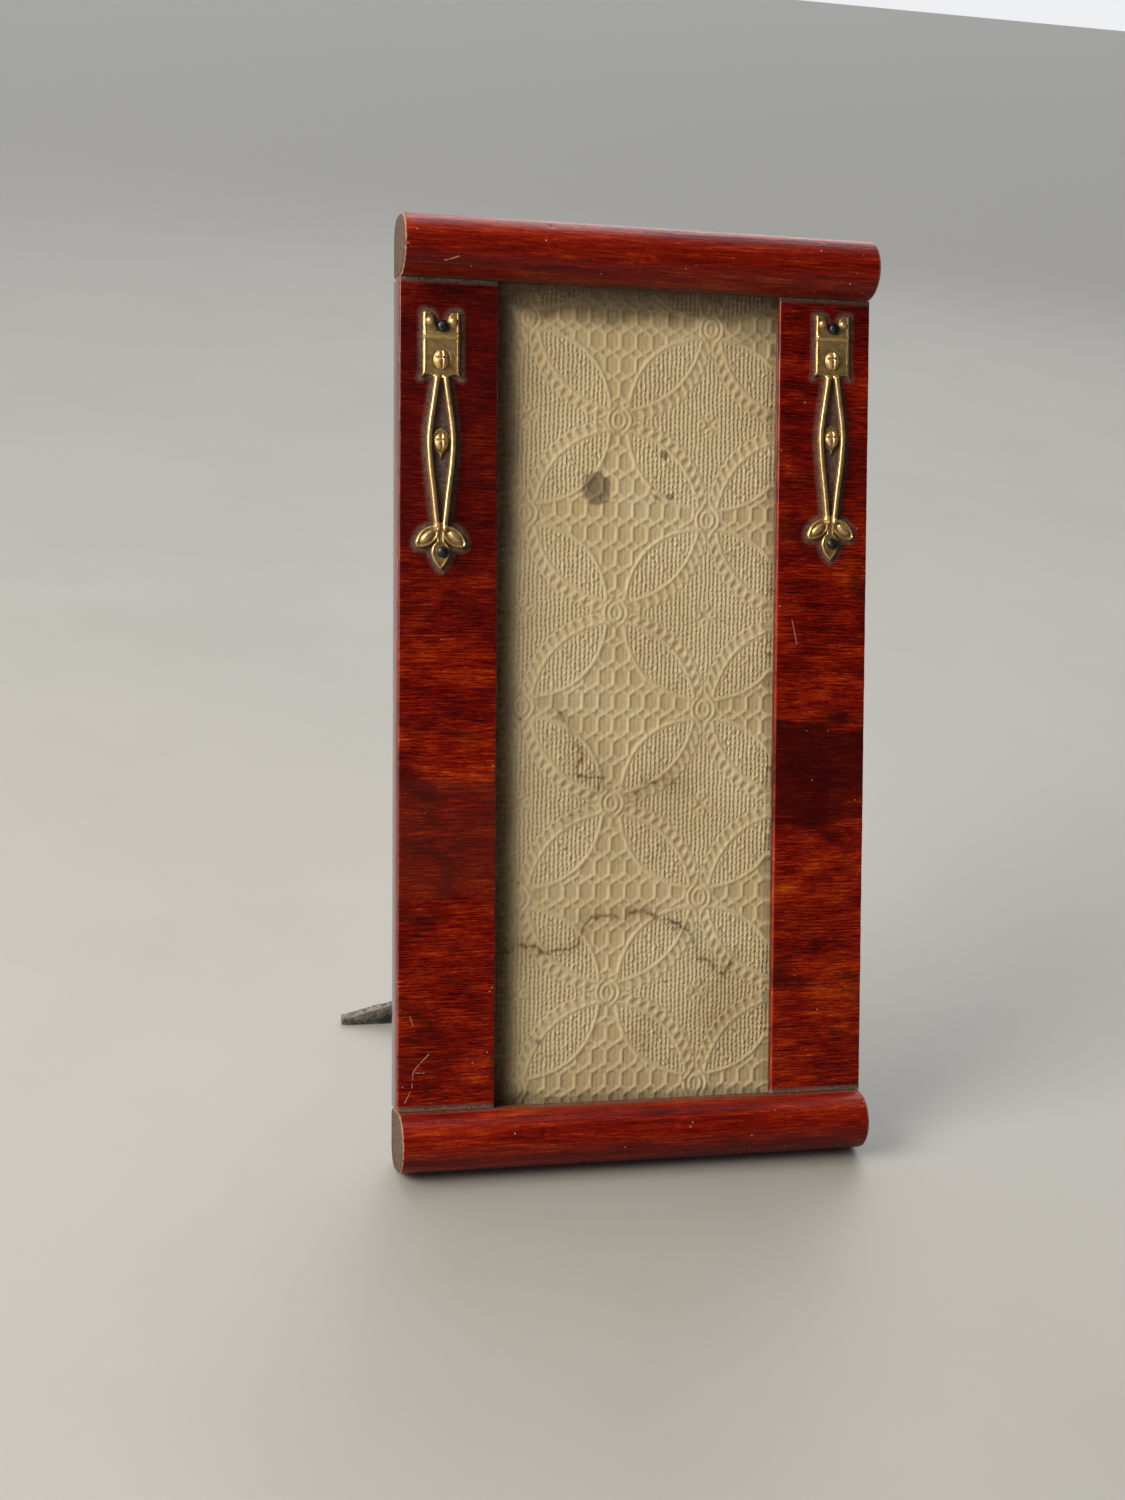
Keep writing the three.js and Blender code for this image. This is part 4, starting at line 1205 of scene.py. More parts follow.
@dataclass
class Rails:
    """The two round-nosed rails, swept along the frame's width."""

    layout: Layout
    nose: float = 6.2
    outer_round: float = 4.5
    inner_round: float = 1.0
    pocket_half: float = 34.9
    pocket_depth: float = 3.5
    pocket_front: float = 1.9
    ease: float = 0.55
    stations: int = 240
    waviness: float = 0.1

    def section(self, height: float, back: float) -> list[Pair]:
        """The rail's section in Y and Z about its middle height, its outer side down."""
        half = height / 2
        outer = (back - self.outer_round, self.outer_round - half)
        inner = (back - self.inner_round, half - self.inner_round)
        return [
            *arc((half - self.nose, 0), half, 90, 270, 36),
            *arc(outer, self.outer_round, 270, 360, 14),
            *arc(inner, self.inner_round, 0, 90, 6),
        ]

    def recipe(
        self, length: float, back: float, half: float, seed: int, finish: Material
    ) -> Recipe:
        """A tree that sweeps a section, eases its ends, cuts the pocket and dents the skin."""
        pocket_top = half + 1
        depth = back + 1 - self.pocket_front
        recipe = Recipe("swept_rail", {
            "Start": ("NodeSocketVector", (-length / 2, 0.0, 0.0)),
            "End": ("NodeSocketVector", (length / 2, 0.0, 0.0)),
            "Stations": ("NodeSocketInt", self.stations),
            "Ease": ("NodeSocketFloat", self.ease),
            "Shrink": ("NodeSocketFloat", self.ease / half),
            "Length": ("NodeSocketFloat", length),
            "Pocket Size": ("NodeSocketVector", (2 * self.pocket_half, depth, self.pocket_depth + 1)),
            "Pocket Centre": ("NodeSocketVector", (
                0.0, self.pocket_front + depth / 2, pocket_top - (self.pocket_depth + 1) / 2)),
            "Dent": ("NodeSocketFloat", self.waviness),
            "Seed": ("NodeSocketFloat", float(seed)),
            "Material": ("NodeSocketMaterial", finish),
        })
        given = recipe.given
        line = recipe.add("GeometryNodeCurvePrimitiveLine", given["Start"], given["End"])
        fine = recipe.add("GeometryNodeResampleCurve", line.outputs[0], Count=given["Stations"])
        along = recipe.add("GeometryNodeSplineParameter").outputs["Length"]
        left = given["Length"] - along
        near = recipe.calc("MINIMUM", along, left) / given["Ease"]
        near = 1.0 - recipe.calc("MINIMUM", near, 1.0)
        near = recipe.calc("POWER", near, 2.0) * given["Shrink"]
        section = recipe.add("GeometryNodeMeshToCurve", given["Geometry"])
        swept = recipe.add("GeometryNodeCurveToMesh", fine.outputs[0], section.outputs[0],
            Scale=1.0 - near, Fill_Caps=True)
        dented = recipe.add("GeometryNodeSetPosition", swept.outputs[0], Offset=self.dents(recipe))
        block = recipe.add("GeometryNodeMeshCube", given["Pocket Size"])
        block = recipe.add("GeometryNodeTransform", block.outputs[0], Translation=given["Pocket Centre"])
        cut = recipe.add("GeometryNodeMeshBoolean", settings={"operation": "DIFFERENCE", "solver": "EXACT"})
        recipe.tree.links.new(dented.outputs[0], cut.inputs[0])
        recipe.tree.links.new(block.outputs[0], cut.inputs[1])
        recipe.finish(cut.outputs[0])
        return recipe

    def dents(self, recipe: Recipe) -> Socket:
        """An offset into the skin: slow waves and a few small dents."""
        given = recipe.given
        place = recipe.add("GeometryNodeInputPosition").outputs[0]
        slow = recipe.add("ShaderNodeTexNoise", place, given["Seed"], settings={"noise_dimensions": "4D"},
                          Scale=0.09, Detail=2.0)
        quick = recipe.add("ShaderNodeTexNoise", place, given["Seed"], settings={"noise_dimensions": "4D"},
                           Scale=0.45, Detail=3.0)
        knocks = recipe.add("ShaderNodeMapRange", quick.outputs["Fac"], 0.62, 0.8)
        depth = Signal(recipe, slow.outputs["Fac"]) + Signal(recipe, knocks.outputs[0]) * 4.0
        depth = depth * (given["Dent"] * -1.0)
        normal = recipe.add("GeometryNodeInputNormal").outputs[0]
        offset = recipe.add("ShaderNodeVectorMath", normal, Scale=depth, settings={"operation": "SCALE"})
        return offset.outputs[0]

    def build(self, finish: Material) -> None:
        """Makes both rails."""
        for seed, (node, upside_down) in enumerate((("bottom_rail", False), ("top_rail", True)), 3):
            low, high = self.layout.box(node)
            half = (high[2] - low[2]) / 2
            outline = [(-y, -z, 0.0) for y, z in self.section(2 * half, high[1])]
            start = bpy.data.meshes.new("rail_section")
            count = len(outline)
            start.from_pydata(outline, [(index, (index + 1) % count) for index in range(count)], [])
            recipe = self.recipe(float(high[0] - low[0]), float(high[1]), float(half), seed, finish)
            middle = self.layout.lean.point(0, 0, float(low[2] + half))
            space = Space(middle, self.layout.lean.back, self.layout.lean.up)
            piece = recipe.made(node + "_swept", start, space, 38)
            if upside_down:
                turned = Matrix.Translation(middle) @ Matrix.Rotation(
                    math.pi, 4, self.layout.lean.back) @ Matrix.Translation(-middle)
                piece.data.transform(turned)
            deliver(piece, FRAME_BODY, "rail_varnish", node)


@dataclass
class Mount:
    """One stamped brass mount, drawn about its upper nail's height on its centre line."""

    side: Side
    centre: float
    nail_height: float
    thickness: float = 0.5
    rib_rise: float = 0.62
    dome_rise: float = 0.85
    upper_nail: Pair = (0.3, 0.0)
    lower_nail: Pair = (0.5, -46.9)
    step: float = 0.115

    def head_plate(self) -> list[Pair]:
        """The eared plate at the top with its flared, hollowed foot."""
        half = [
            *curve((0, -1.1), (1.2, -0.9), (1.3, 1.2)),
            *curve((1.3, 1.2), (1.5, 2.3), (2.3, 2.8)),
            *curve((2.3, 2.8), (3.2, 3.0), (3.95, 2.9), 4),
            (3.95, 2.9), (3.95, -9.2),
            *curve((3.95, -9.2), (3.95, -10.2), (4.4, -10.8)),
            *curve((4.4, -10.8), (2.6, -9.3), (1.5, -10.9)),
            (1.5, -10.9),
        ]
        return mirrored(half)

    def middle_drop(self) -> list[Pair]:
        """The onion-shaped drop between the ribs."""
        half = [
            *curve((0, -21.0), (1.5, -21.4), (2.0, -23.2)),
            *curve((2.0, -23.2), (2.0, -25.2), (0.5, -26.4)),
            *curve((0.5, -26.4), (0.15, -27.0), (0, -27.7)),
        ]
        return mirrored(half)

    def leaf(self, side: int) -> list[Pair]:
        """A leaf that splays down and out from the stem."""
        half = [
            *curve((0.2, -41.2), (4.5, -41.2), (5.45, -44.9), 12),
            *curve((5.45, -44.9), (5.5, -46.1), (4.3, -46.1), 6),
            *curve((4.3, -46.1), (1.6, -45.9), (0.2, -43.2), 10),
        ]
        return [(side * x, z) for x, z in half]

    def lower_drop(self) -> list[Pair]:
        """The stem and the drop at its end."""
        half = [
            (0.9, -40.6), (0.9, -44.4),
            *curve((0.9, -44.6), (2.1, -45.6), (2.05, -47.2)),
            *curve((2.05, -47.2), (1.6, -49.2), (0, -50.6)),
            (0, -50.6),
        ]
        return mirrored(half)

    def rib_line(self, side: int) -> list[Pair]:
        """The middle of a side rib: it bows out and comes back to the stem."""
        knots = [
            (0.85, -10.4), (1.45, -14.6), (2.25, -20.0), (2.62, -23.5), (2.3, -28.6), (1.5, -35.0),
            (0.75, -42.0),
        ]
        heights = np.linspace(knots[0][1], knots[-1][1], 40)
        xs = np.interp(-heights, [-z for _, z in knots], [x for x, _ in knots])
        kernel = np.array([1, 2, 3, 2, 1]) / 9
        eased = np.convolve(np.pad(xs, 2, mode="edge"), kernel, "valid")
        return [(side * float(x), float(z)) for x, z in zip(eased, heights)]

    def between_ribs(self, u: Grid, v: Grid) -> Grid:
        """1 in the opening between the ribs, 0 elsewhere."""
        return smooth(outline_distance(u, v, self.rib_line(1) + self.rib_line(-1)[::-1]), 0.2, -0.2)

    def parts(self, u: Grid, v: Grid) -> tuple[Grid, Grid, list[Grid]]:
        """Distances to the plain sheet, the ribs and the two leaves."""
        sheet = outline_distance(u, v, self.head_plate())
        for shape in (self.middle_drop(), self.lower_drop()):
            sheet = np.minimum(sheet, outline_distance(u, v, shape))
        rib = np.minimum(*(line_distance(u, v, self.rib_line(side)) for side in (-1, 1)))
        leaves = [outline_distance(u, v, self.leaf(side)) for side in (-1, 1)]
        return sheet, rib, leaves

    def distance(self, u: Grid, v: Grid) -> Grid:
        """Distance to the mount's edge, with its two nail holes."""
        sheet, rib, leaves = self.parts(u, v)
        edge = np.minimum(np.minimum(sheet, rib - 0.66), np.minimum(*leaves))
        for x, z in (self.upper_nail, self.lower_nail):
            edge = np.maximum(edge, 0.6 - np.hypot(u - x, v - z))
        return edge

    def rise(self, u: Grid, v: Grid) -> Grid:
        """Height of the pressed face above the stile."""
        _, rib, leaves = self.parts(u, v)
        edge = -self.distance(u, v)
        height = self.thickness * (0.55 + 0.45 * smooth(edge, 0, 0.3))
        height += self.rib_rise * np.sqrt(np.clip(1 - (rib / 0.68) ** 2, 0, 1)) * smooth(v, -9.9, -10.8)
        for leaf in leaves:
            rim = ridge(leaf + 0.32, 0.2) * (leaf < 0.1)
            height += 0.26 * rim * smooth(np.abs(u), 0.5, 1.1)
        collar = ridge(v + 1.9, 0.42) * smooth(np.abs(u), 3.95, 3.5)
        groove = ridge(v + 2.75, 0.16) * smooth(np.abs(u), 3.95, 3.5)
        plate = smooth(np.abs(np.abs(u) - 3.45), 0.18, 0.05) * smooth(v, -10, -9) * (v > -10)
        height += 0.42 * collar - 0.12 * groove + 0.1 * plate
        for side in (-1, 1):
            height += 0.7 * dome(u, v, (side * 2.4, 1.0), (0.86, 0.86))
            height += 0.75 * dome(u, v, (side * 2.95, -43.7), (0.85, 1.65), side * -0.85)
        for centre, half in (((0, -6.95), (1.6, 2.05)), ((0, -24.0), (1.55, 1.9))):
            height += self.slotted_dome(u, v, centre, half)
        drop = ridge(self.lower_edge(u, v) + 0.3, 0.2)
        return height + 0.14 * drop + 0.015 * mottle(3, u * 2, v * 2)

    def lower_edge(self, u: Grid, v: Grid) -> Grid:
        """Distance to the lower drop's edge."""
        return outline_distance(u, v, self.lower_drop())

    def slotted_dome(self, u: Grid, v: Grid, centre: Pair, half: Pair) -> Grid:
        """An egg-shaped boss with an upright groove and a cross groove at its upper third."""
        swell = dome(u, v, centre, half)
        upright = ridge(u - centre[0], 0.2)
        cross = ridge(v - centre[1] - half[1] * 0.2, 0.2)
        moat = ridge(np.hypot((u - centre[0]) / half[0], (v - centre[1]) / half[1]) - 1.08, 0.1)
        cut = np.maximum(upright, cross) * (swell > 0)
        return self.dome_rise * swell - 0.42 * cut * np.sqrt(swell) - 0.12 * moat

    def draft(self) -> Draft:
        """The mount as a pressed sheet in the leaning space."""
        sheet = Sheet(self.distance, (-5.5, -50.8), (5.5, 3.1), self.step)

        def flank(u: Grid, v: Grid) -> Grid:
            """The sides of the ribs."""
            _, rib, _ = self.parts(u, v)
            between = smooth(rib, 0.3, 0.55) * smooth(rib, 0.72, 0.66)
            return between * smooth(v, -10.8, -11.6) * smooth(v, -42, -40)

        def rub_and_highlight(u: Grid, v: Grid) -> Grid:
            """High places, made pale with rubbed wear and a painted highlight."""
            return smooth(self.rise(u, v), 0.85, 1.25) * (1 - 0.9 * flank(u, v))

        def hollow(u: Grid, v: Grid) -> Grid:
            """Low places, which keep their tarnish."""
            return np.maximum(smooth(self.rise(u, v), 0.56, 0.3), flank(u, v))

        marks = {"rub_and_highlight": rub_and_highlight, "hollow": hollow}
        draft = sheet.draft(lambda u, v: -0.02 - self.rise(u, v), level(-0.02), marks)
        return draft.moved(self.centre, 0, self.nail_height)

    def nails(self) -> list[tuple[float, float, float]]:
        """The seats of the mount's two nails."""
        seat = -0.02 - self.thickness
        return [(self.centre + x, seat, self.nail_height + z) for x, z in (self.upper_nail, self.lower_nail)]


@dataclass
class Stiles:
    """The two cross-veneered stiles with their cores and dowels."""

    layout: Layout
    mounts: dict[Side, Mount]
    arris: float = 0.45
    crease: float = 0.06
    columns: int = 54
    row_step: float = 0.5

    def face(self, inner: float, outer: float, back: float) -> Grid:
        """The veneer's section in X and Y from its inner back edge round to its outer one."""
        r = self.arris
        return np.array([
            (inner, back), (inner, r + 0.05),
            *arc((inner + r, r), r, 180, 270, 6),
            *[(x, 0.0) for x in np.linspace(inner + r, outer - r, self.columns)[1:-1]],
            *arc((outer - r, r), r, 270, 360, 6),
            (outer, r + 0.05), (outer, back),
        ])

    def veneer(self, side: Side) -> Draft:
        """One veneer: a sheet with rubbed arrises, gently uneven, marked with grime by its mount."""
        low, high = self.layout.box(f"stile_veneer_{side.value}")
        inner, outer = sorted((abs(low[0]), abs(high[0])))
        rail_low = self.layout.box("bottom_rail")[1][2] + self.crease
        rail_high = self.layout.box("top_rail")[0][2] - self.crease
        section = self.face(inner, outer, high[1])
        heights = np.linspace(rail_low, rail_high, int((rail_high - rail_low) / self.row_step))
        x, z = np.meshgrid(section[:, 0] * side.sign, heights)
        y = np.tile(section[:, 1], (len(heights), 1))
        skin = smooth(y, 0.6, 0.3)
        y = y + skin * (0.025 + 0.025 * mottle(11, x / 9, z / 14)) + skin * 0.05 * smooth(
            mottle(19, x / 2.2, z / 2.2, octaves=2), 0.72, 0.95)
        pull = smooth(np.abs(np.abs(x) - (inner + outer) / 2), (outer - inner) / 2 - 0.3, (outer - inner) / 2)
        x = x - np.sign(np.abs(x) - (inner + outer) / 2) * side.sign * pull * 0.05 * (
            1.05 + np.maximum(mottle(23, z / 3, z / 50), -1))
        rings = np.stack([x, y, z], -1)
        draft = loft(rings)
        mount = self.mounts[side]
        points = draft.points
        u, v = points[:, 0] - mount.centre, points[:, 2] - mount.nail_height
        grime = np.maximum(smooth(mount.distance(u, v), 1.5, 0.0), mount.between_ribs(u, v))
        draft.marks["grime"] = grime * (0.75 + 0.25 * mottle(31, points[:, 0], points[:, 2]))
        return draft

    def build(self, veneer: Material, timber: Material, dowel: Material) -> None:
        """Makes the veneers and cores and dresses the hidden dowels."""
        for side in Side:
            node = f"stile_veneer_{side.value}"
            deliver(self.veneer(side).raised(node + "_faced", self.layout.lean, veneer, 50), FRAME_BODY,
                    "cross_veneer", node)
            node = f"stile_core_{side.value}"
            core = eased_copy(self.layout.frame["nodes"][node], node + "_eased", 0.25, timber)
            deliver(core, FRAME_BODY, "stile_core", node)
            for tier in Level:
                dress(self.layout.frame["nodes"][f"dowel_{tier.value}_{side.value}"], dowel)


def dress(node: Thing, finish: Material) -> None:
    """Puts a finish on a CAD node that stays in sight."""
    node.data.materials.clear()
    node.data.materials.append(finish)


def eased_copy(
    node: Thing, name: str, ease: float, finish: Material, steps: int = 2
) -> Thing:
    """A copy of a CAD node with its arrises eased.

    Args:
        node: The CAD node.
        name: The new piece's name.
        ease: Width of the eased arris, in millimetres.
        finish: The piece's material.
        steps: Facets across an arris.

    Returns:
        The new piece.
    """
    mesh = node.data.copy()
    mesh.name = name
    work = bmesh.new()
    work.from_mesh(mesh)
    bmesh.ops.remove_doubles(work, verts=work.verts, dist=1e-6)
    bmesh.ops.dissolve_limit(work, angle_limit=math.radians(1), verts=work.verts, edges=work.edges)
    crisp = [edge for edge in work.edges if edge.calc_face_angle(0) > math.radians(30)]
    bmesh.ops.bevel(work, geom=crisp, offset=ease * MM, segments=steps, profile=0.5, affect="EDGES",
                    clamp_overlap=True)
    work.to_mesh(mesh)
    work.free()
    mesh.materials.clear()
    mesh.materials.append(finish)
    return smoothed(mesh, name, 38)


@dataclass
class Lace:
    """The embossed pattern: leaves that cross in rosettes, with net and ribbed fields between them."""

    start: Pair = (-3.57, 160.46)
    tilt: float = math.radians(0.77)
    pitch: Pair = (41.0, 41.4)
    leaf_half: float = 12.4
    net: Pair = (3.47, 5.15)

    def cell(self, x: Grid, z: Grid) -> tuple[Grid, Grid, Grid, Grid]:
        """Places turned with the paper, and folded about the nearest net field."""
        dx, dz = x - self.start[0], z - self.start[1]
        a = dx * math.cos(self.tilt) - dz * math.sin(self.tilt)
        b = dx * math.sin(self.tilt) + dz * math.cos(self.tilt)
        width, height = self.pitch
        row = np.floor((b - height / 2) / height + 0.5)
        net_a = a - np.round(a / width) * width
        net_b = b - height / 2 - row * height
        return a, b, net_a, net_b

    def leaf(self, fold_a: Grid, fold_b: Grid) -> tuple[Grid, Grid, Grid]:
        """Place along a leaf, depth inside its edge, and distance outside it on the ribbed side."""
        da, db = fold_a - self.pitch[0] / 4, fold_b - self.pitch[1] / 4
        along, across = (da - db) / math.sqrt(2), (da + db) / math.sqrt(2)
        bulge = np.clip(1 - (along / self.leaf_half) ** 2, 0, 1)
        half = np.where(across > 0, 4.3, 5.2) * bulge
        return along, half - np.abs(across), np.where(across > 0, across - half, 9.0)

    def net_lines(self, a: Grid, b: Grid) -> Grid:
        """Distance to the net's upright bars and crossing ties."""
        width, height = self.net
        bar = 0.56
        u = a / width - np.floor(a / width)
        v = b / height - np.floor(b / height)
        upright = np.minimum(u, 1 - u) * width + 9 * (v > bar)
        share = np.clip((v - bar) / (1 - bar), 0, 1)
        slope = math.hypot(1, width / (height * (1 - bar)))
        ties = np.minimum(np.abs(u - share), np.abs(1 - u - share)) * width / slope
        return np.minimum(upright, np.where(v > bar, ties, 9.0))

    def ring(self, a: Grid, b: Grid, radius: float, width: float) -> Grid:
        """A round ridge."""
        return ridge(np.hypot(a, b) - radius, width)

    def rosette(self, a: Grid, b: Grid) -> Grid:
        """An oval ring of two brackets about a pair of small petals."""
        outer = ridge(np.hypot(a / 2.55, b / 2.75) - 1, 0.13) * smooth(np.abs(a), 0.3, 1.2)
        inner = ridge(np.hypot(a / 1.3, b / 1.75) - 1, 0.2)
        seam = ridge(a, 0.2) * (np.abs(b) < 1.2)
        return np.maximum(np.maximum(outer, inner), 0.7 * seam)

    def relief(self, x: Grid, z: Grid) -> tuple[Grid, Grid]:
        """Height of the embossing from 0 to about 1, and how much knitting shows there."""
        a, b, net_a, net_b = self.cell(x, z)
        fold_a, fold_b = np.abs(net_a), np.abs(net_b)
        quarter = (self.pitch[0] / 2, self.pitch[1] / 2)
        in_net = fold_a / quarter[0] + fold_b / quarter[1] < 1
        along, depth, outside = self.leaf(fold_a, fold_b)
        ground = 0.25 + 0.12 * mottle(43, x / 1.3, z / 1.3)
        net = ridge(self.net_lines(net_a, net_b), 0.28) * 0.8
        height = np.where(in_net, net, ground)
        plain = in_net | (outside < 2.5)
        height = np.where(outside < 2.5, self.ladder(along, outside), height)
        inside = depth > 0
        plain = np.where(inside, depth < 1.15, plain)
        fill = np.where(inside, ground, height)
        for place in (-5.6, 0.0, 5.6):
            near = np.hypot(along - place, depth - (2.9 - abs(place) * 0.12))
            fill = np.where(inside & (near < 1.15), 0.8 * ridge(near - 0.8, 0.24), fill)
        rim = ridge(depth - 0.5, 0.42) * 0.92
        height = np.maximum(fill, rim * (depth > -0.6))
        height, near = self.centres(a, b, height)
        return height, np.where(plain | near, 0.15, 1.0)

    def centres(self, a: Grid, b: Grid, height: Grid) -> tuple[Grid, Grid]:
        """Adds the rosettes and the four-ringed flowers, and tells where they are."""
        width, tall = self.pitch
        found = np.zeros(np.shape(a), bool)
        for shift_a, shift_b in ((0, 0), (width / 2, tall / 2)):
            da = a - shift_a - np.round((a - shift_a) / width) * width
            db = b - shift_b - np.round((b - shift_b) / tall) * tall
            away = np.hypot(da / 2.9, db / 3.1)
            height = np.where(away < 1.08, self.rosette(da, db), height)
            found |= away < 1.08
        da = a - width / 2 - np.round((a - width / 2) / width) * width
        db = b - np.round(b / tall) * tall
        rings = np.zeros(np.shape(a))
        for ca, cb in ((1.75, 0), (-1.75, 0), (0, 1.75), (0, -1.75)):
            rings = np.maximum(rings, self.ring(da - ca, db - cb, 0.72, 0.26))
        near = np.abs(da) + np.abs(db) < 3.2
        return np.where(near, 0.9 * rings, height), found | near

    def ladder(self, along: Grid, outside: Grid) -> Grid:
        """Loops of thread along a leaf's outer edge."""
        step = 2.15
        offset = along - np.round(along / step) * step
        loop = np.hypot(offset, np.maximum(outside - 1.3, 0))
        return 0.85 * ridge(loop - 0.84, 0.26)


@dataclass
class Panel:
    """The glass, the embossed paper, its backing card and the back board."""

    layout: Layout
    lace: Lace = field(default_factory=Lace)
    margin: float = 3.6
    cell: Pair = (0.335, 0.36)
    emboss: float = 0.33
    blots: tuple[tuple[float, float, float], ...] = (
        (-8.6, 145.7, 3.3), (6.7, 153.3, 0.95), (4.9, 144.2, 0.6), (7.9, 144.3, 0.8), (-20.9, 26.0, 0.65),
        (3.9, 146.0, 0.4),
    )
    tide_lines: tuple[tuple[Pair, ...], ...] = (
        ((-17.5, 98.5), (-14.5, 94.5), (-13.0, 91.5), (-11.2, 88.4), (-12.7, 84.2), (-6.3, 83.0),
         (-7.8, 80.4), (-12.3, 77.2), (-14.5, 74.0)),
        ((0.5, 79.5), (3.5, 82.0), (7.2, 82.6), (11.8, 81.1)),
        ((-30.0, 45.4), (-22.8, 47.0), (-19.1, 45.5), (-12.3, 46.6), (-10.8, 50.1), (-9.7, 52.8),
         (-4.8, 52.8), (4.2, 53.5), (8.8, 51.8), (11.0, 50.5), (14.3, 47.8), (15.2, 43.9),
         (19.6, 41.2), (21.5, 38.9), (23.8, 43.2)),
    )

    def stain(self, x: Grid, z: Grid) -> Grid:
        """Water marks: broken dark tide lines with a paler wash inside them."""
        wx = x + 0.9 * mottle(5, x / 2.5, z / 2.5)
        wz = z + 0.9 * mottle(6, x / 2.5, z / 2.5)
        total = np.zeros(np.shape(x))
        for line in self.tide_lines:
            away = line_distance(wx, wz, line)
            broken = smooth(mottle(8, x / 2.2, z / 2.2), -0.85, 0.1)
            total = np.maximum(total, ridge(away, 0.42) * broken)
            total = np.maximum(total, 0.22 * ridge(away, 2.6))
        for cx, cz, size in ((20.5, 30.0, 5.5), (22.0, 41.0, 3.5), (4.0, 28.0, 4.0)):
            wash = np.exp(-(((x - cx) / size) ** 2) - ((z - cz) / (1.8 * size)) ** 2)
            total = np.maximum(total, 0.38 * wash * (0.6 + 0.4 * mottle(9, x / 3, z / 3)))
        return np.clip(total, 0, 1)

    def ink(self, x: Grid, z: Grid) -> Grid:
        """Blots of ink with ragged rims."""
        total = np.zeros(np.shape(x))
        for cx, cz, size in self.blots:
            away = np.hypot(x - cx, (z - cz) * 0.94) + 0.12 * size * mottle(12, x / 1.6, z / 1.6)
            total = np.maximum(total, smooth(away, size * 1.08, size * 0.86))
        return total

    def dust(self, x: Grid, z: Grid, head: float, foot: float, half: float) -> Grid:
        """Brown dust settled at the head of the panel with painted shade under the top rail, a little more in
        its upper right corner, and painted shade along both side edges, along the foot and in the lower left
        corner.
        """
        ragged = 1.6 * mottle(14, x / 5, z / 9) + 0.5 * mottle(15, x / 0.9, z / 0.9)
        # Brown dust at the head, darkened there as painted shade under the top rail.
        top = 0.86 * smooth(z + ragged, head - 8.2, head - 4.0)
        right = 0.5 * smooth(z + ragged, head - 13, head - 7) * smooth(x, half - 14, half - 2)
        # Darker along the foot and in its lower left corner: painted shade in the gap above the bottom rail.
        low = 0.5 * smooth(z + 0.5 * ragged, foot + 1.6, foot + 0.2)
        corner = 0.8 * smooth(z + 0.4 * ragged, foot + 3.4, foot + 1.0) * smooth(-x, half - 16, half - 5)
        # Painted shade along the right edge and, wider, along the left edge, where the stiles cast shadow.
        edge = 0.35 * smooth(x + 0.3 * ragged, half - 1.2, half)
        edge = edge + 0.94 * smooth(-x + 0.4 * ragged, half - 7.0, half - 1.8)
        return np.clip(np.maximum.reduce([top, right, low, corner, edge]), 0, 1)

    def paper(self) -> Draft:
        """The embossed sheet: finely meshed where it shows, and closed behind by one flat face."""
        low, high = self.layout.box("embossed_paper")
        m = self.margin
        lines = [
            [low[axis], *np.arange(low[axis] + m, high[axis] - m, step), high[axis] - m, high[axis]]
            for axis, step in zip((0, 2), self.cell)
        ]
        x, z = np.meshgrid(*lines, indexing="ij")
        relief, knit = self.lace.relief(x, z)
        buckle = 0.04 * mottle(21, x / 24, z / 30)
        y = low[1] + 0.06 + self.emboss * (1 - np.clip(relief, 0, 1)) + buckle
        points = np.stack([x, y, z], -1).reshape(-1, 3)
        count_x, count_z = x.shape
        number = np.arange(count_x * count_z).reshape(x.shape)
        quads = np.stack([number[:-1, :-1], number[1:, :-1], number[1:, 1:], number[:-1, 1:]], -1)
        quads = quads.reshape(-1, 4)
        rim = np.concatenate([number[:, 0], number[-1, 1:], number[-2::-1, -1], number[0, -2:0:-1]])
        behind = points[rim] * np.array([1, 0, 1]) + np.array([0, high[1], 0])
        total = len(points)
        count = len(rim)
        walls = [
            (int(rim[(k + 1) % count]), int(rim[k]), total + k, total + (k + 1) % count) for k in range(count)
        ]
        faces = [tuple(quad) for quad in quads.tolist()] + walls + [tuple(range(total, total + count))]
        flat = np.concatenate([points, behind])
        px, pz = flat[:, 0], flat[:, 2]
        half = self.layout.box("stile_veneer_right")[0][0]
        head, foot = self.layout.box("top_rail")[0][2], self.layout.box("bottom_rail")[1][2]
        marks = {
            "relief": np.concatenate([relief.ravel(), np.zeros(count)]),
            "knit": np.concatenate([knit.ravel(), np.zeros(count)]),
            "stain": self.stain(px, pz),
            "ink": self.ink(px, pz),
            "dust": self.dust(px, pz, head, foot, half),
        }
        return Draft(flat, faces, marks)

    def flat_layer(self, node: str, step: float, wave: float, seed: int) -> Draft:
        """A plain layer with eased edges and a slight wave."""
        low, high = self.layout.box(node)

        def edge(x: Grid, z: Grid) -> Grid:
            """Distance to the layer's edge."""
            return box_distance(x, z, (low[0], low[2]), (high[0], high[2]), 0.4)

        def lift(x: Grid, z: Grid) -> Grid:
            """How far a face stands in from its flat place."""
            return wave * (1 + mottle(seed, x / 16, z / 22)) / 2 + 0.12 * smooth(-edge(x, z), 0.5, 0)

        sheet = Sheet(edge, (low[0], low[2]), (high[0], high[2]), step)
        return sheet.draft(lambda x, z: low[1] + lift(x, z), lambda x, z: high[1] - lift(x + 50, z))

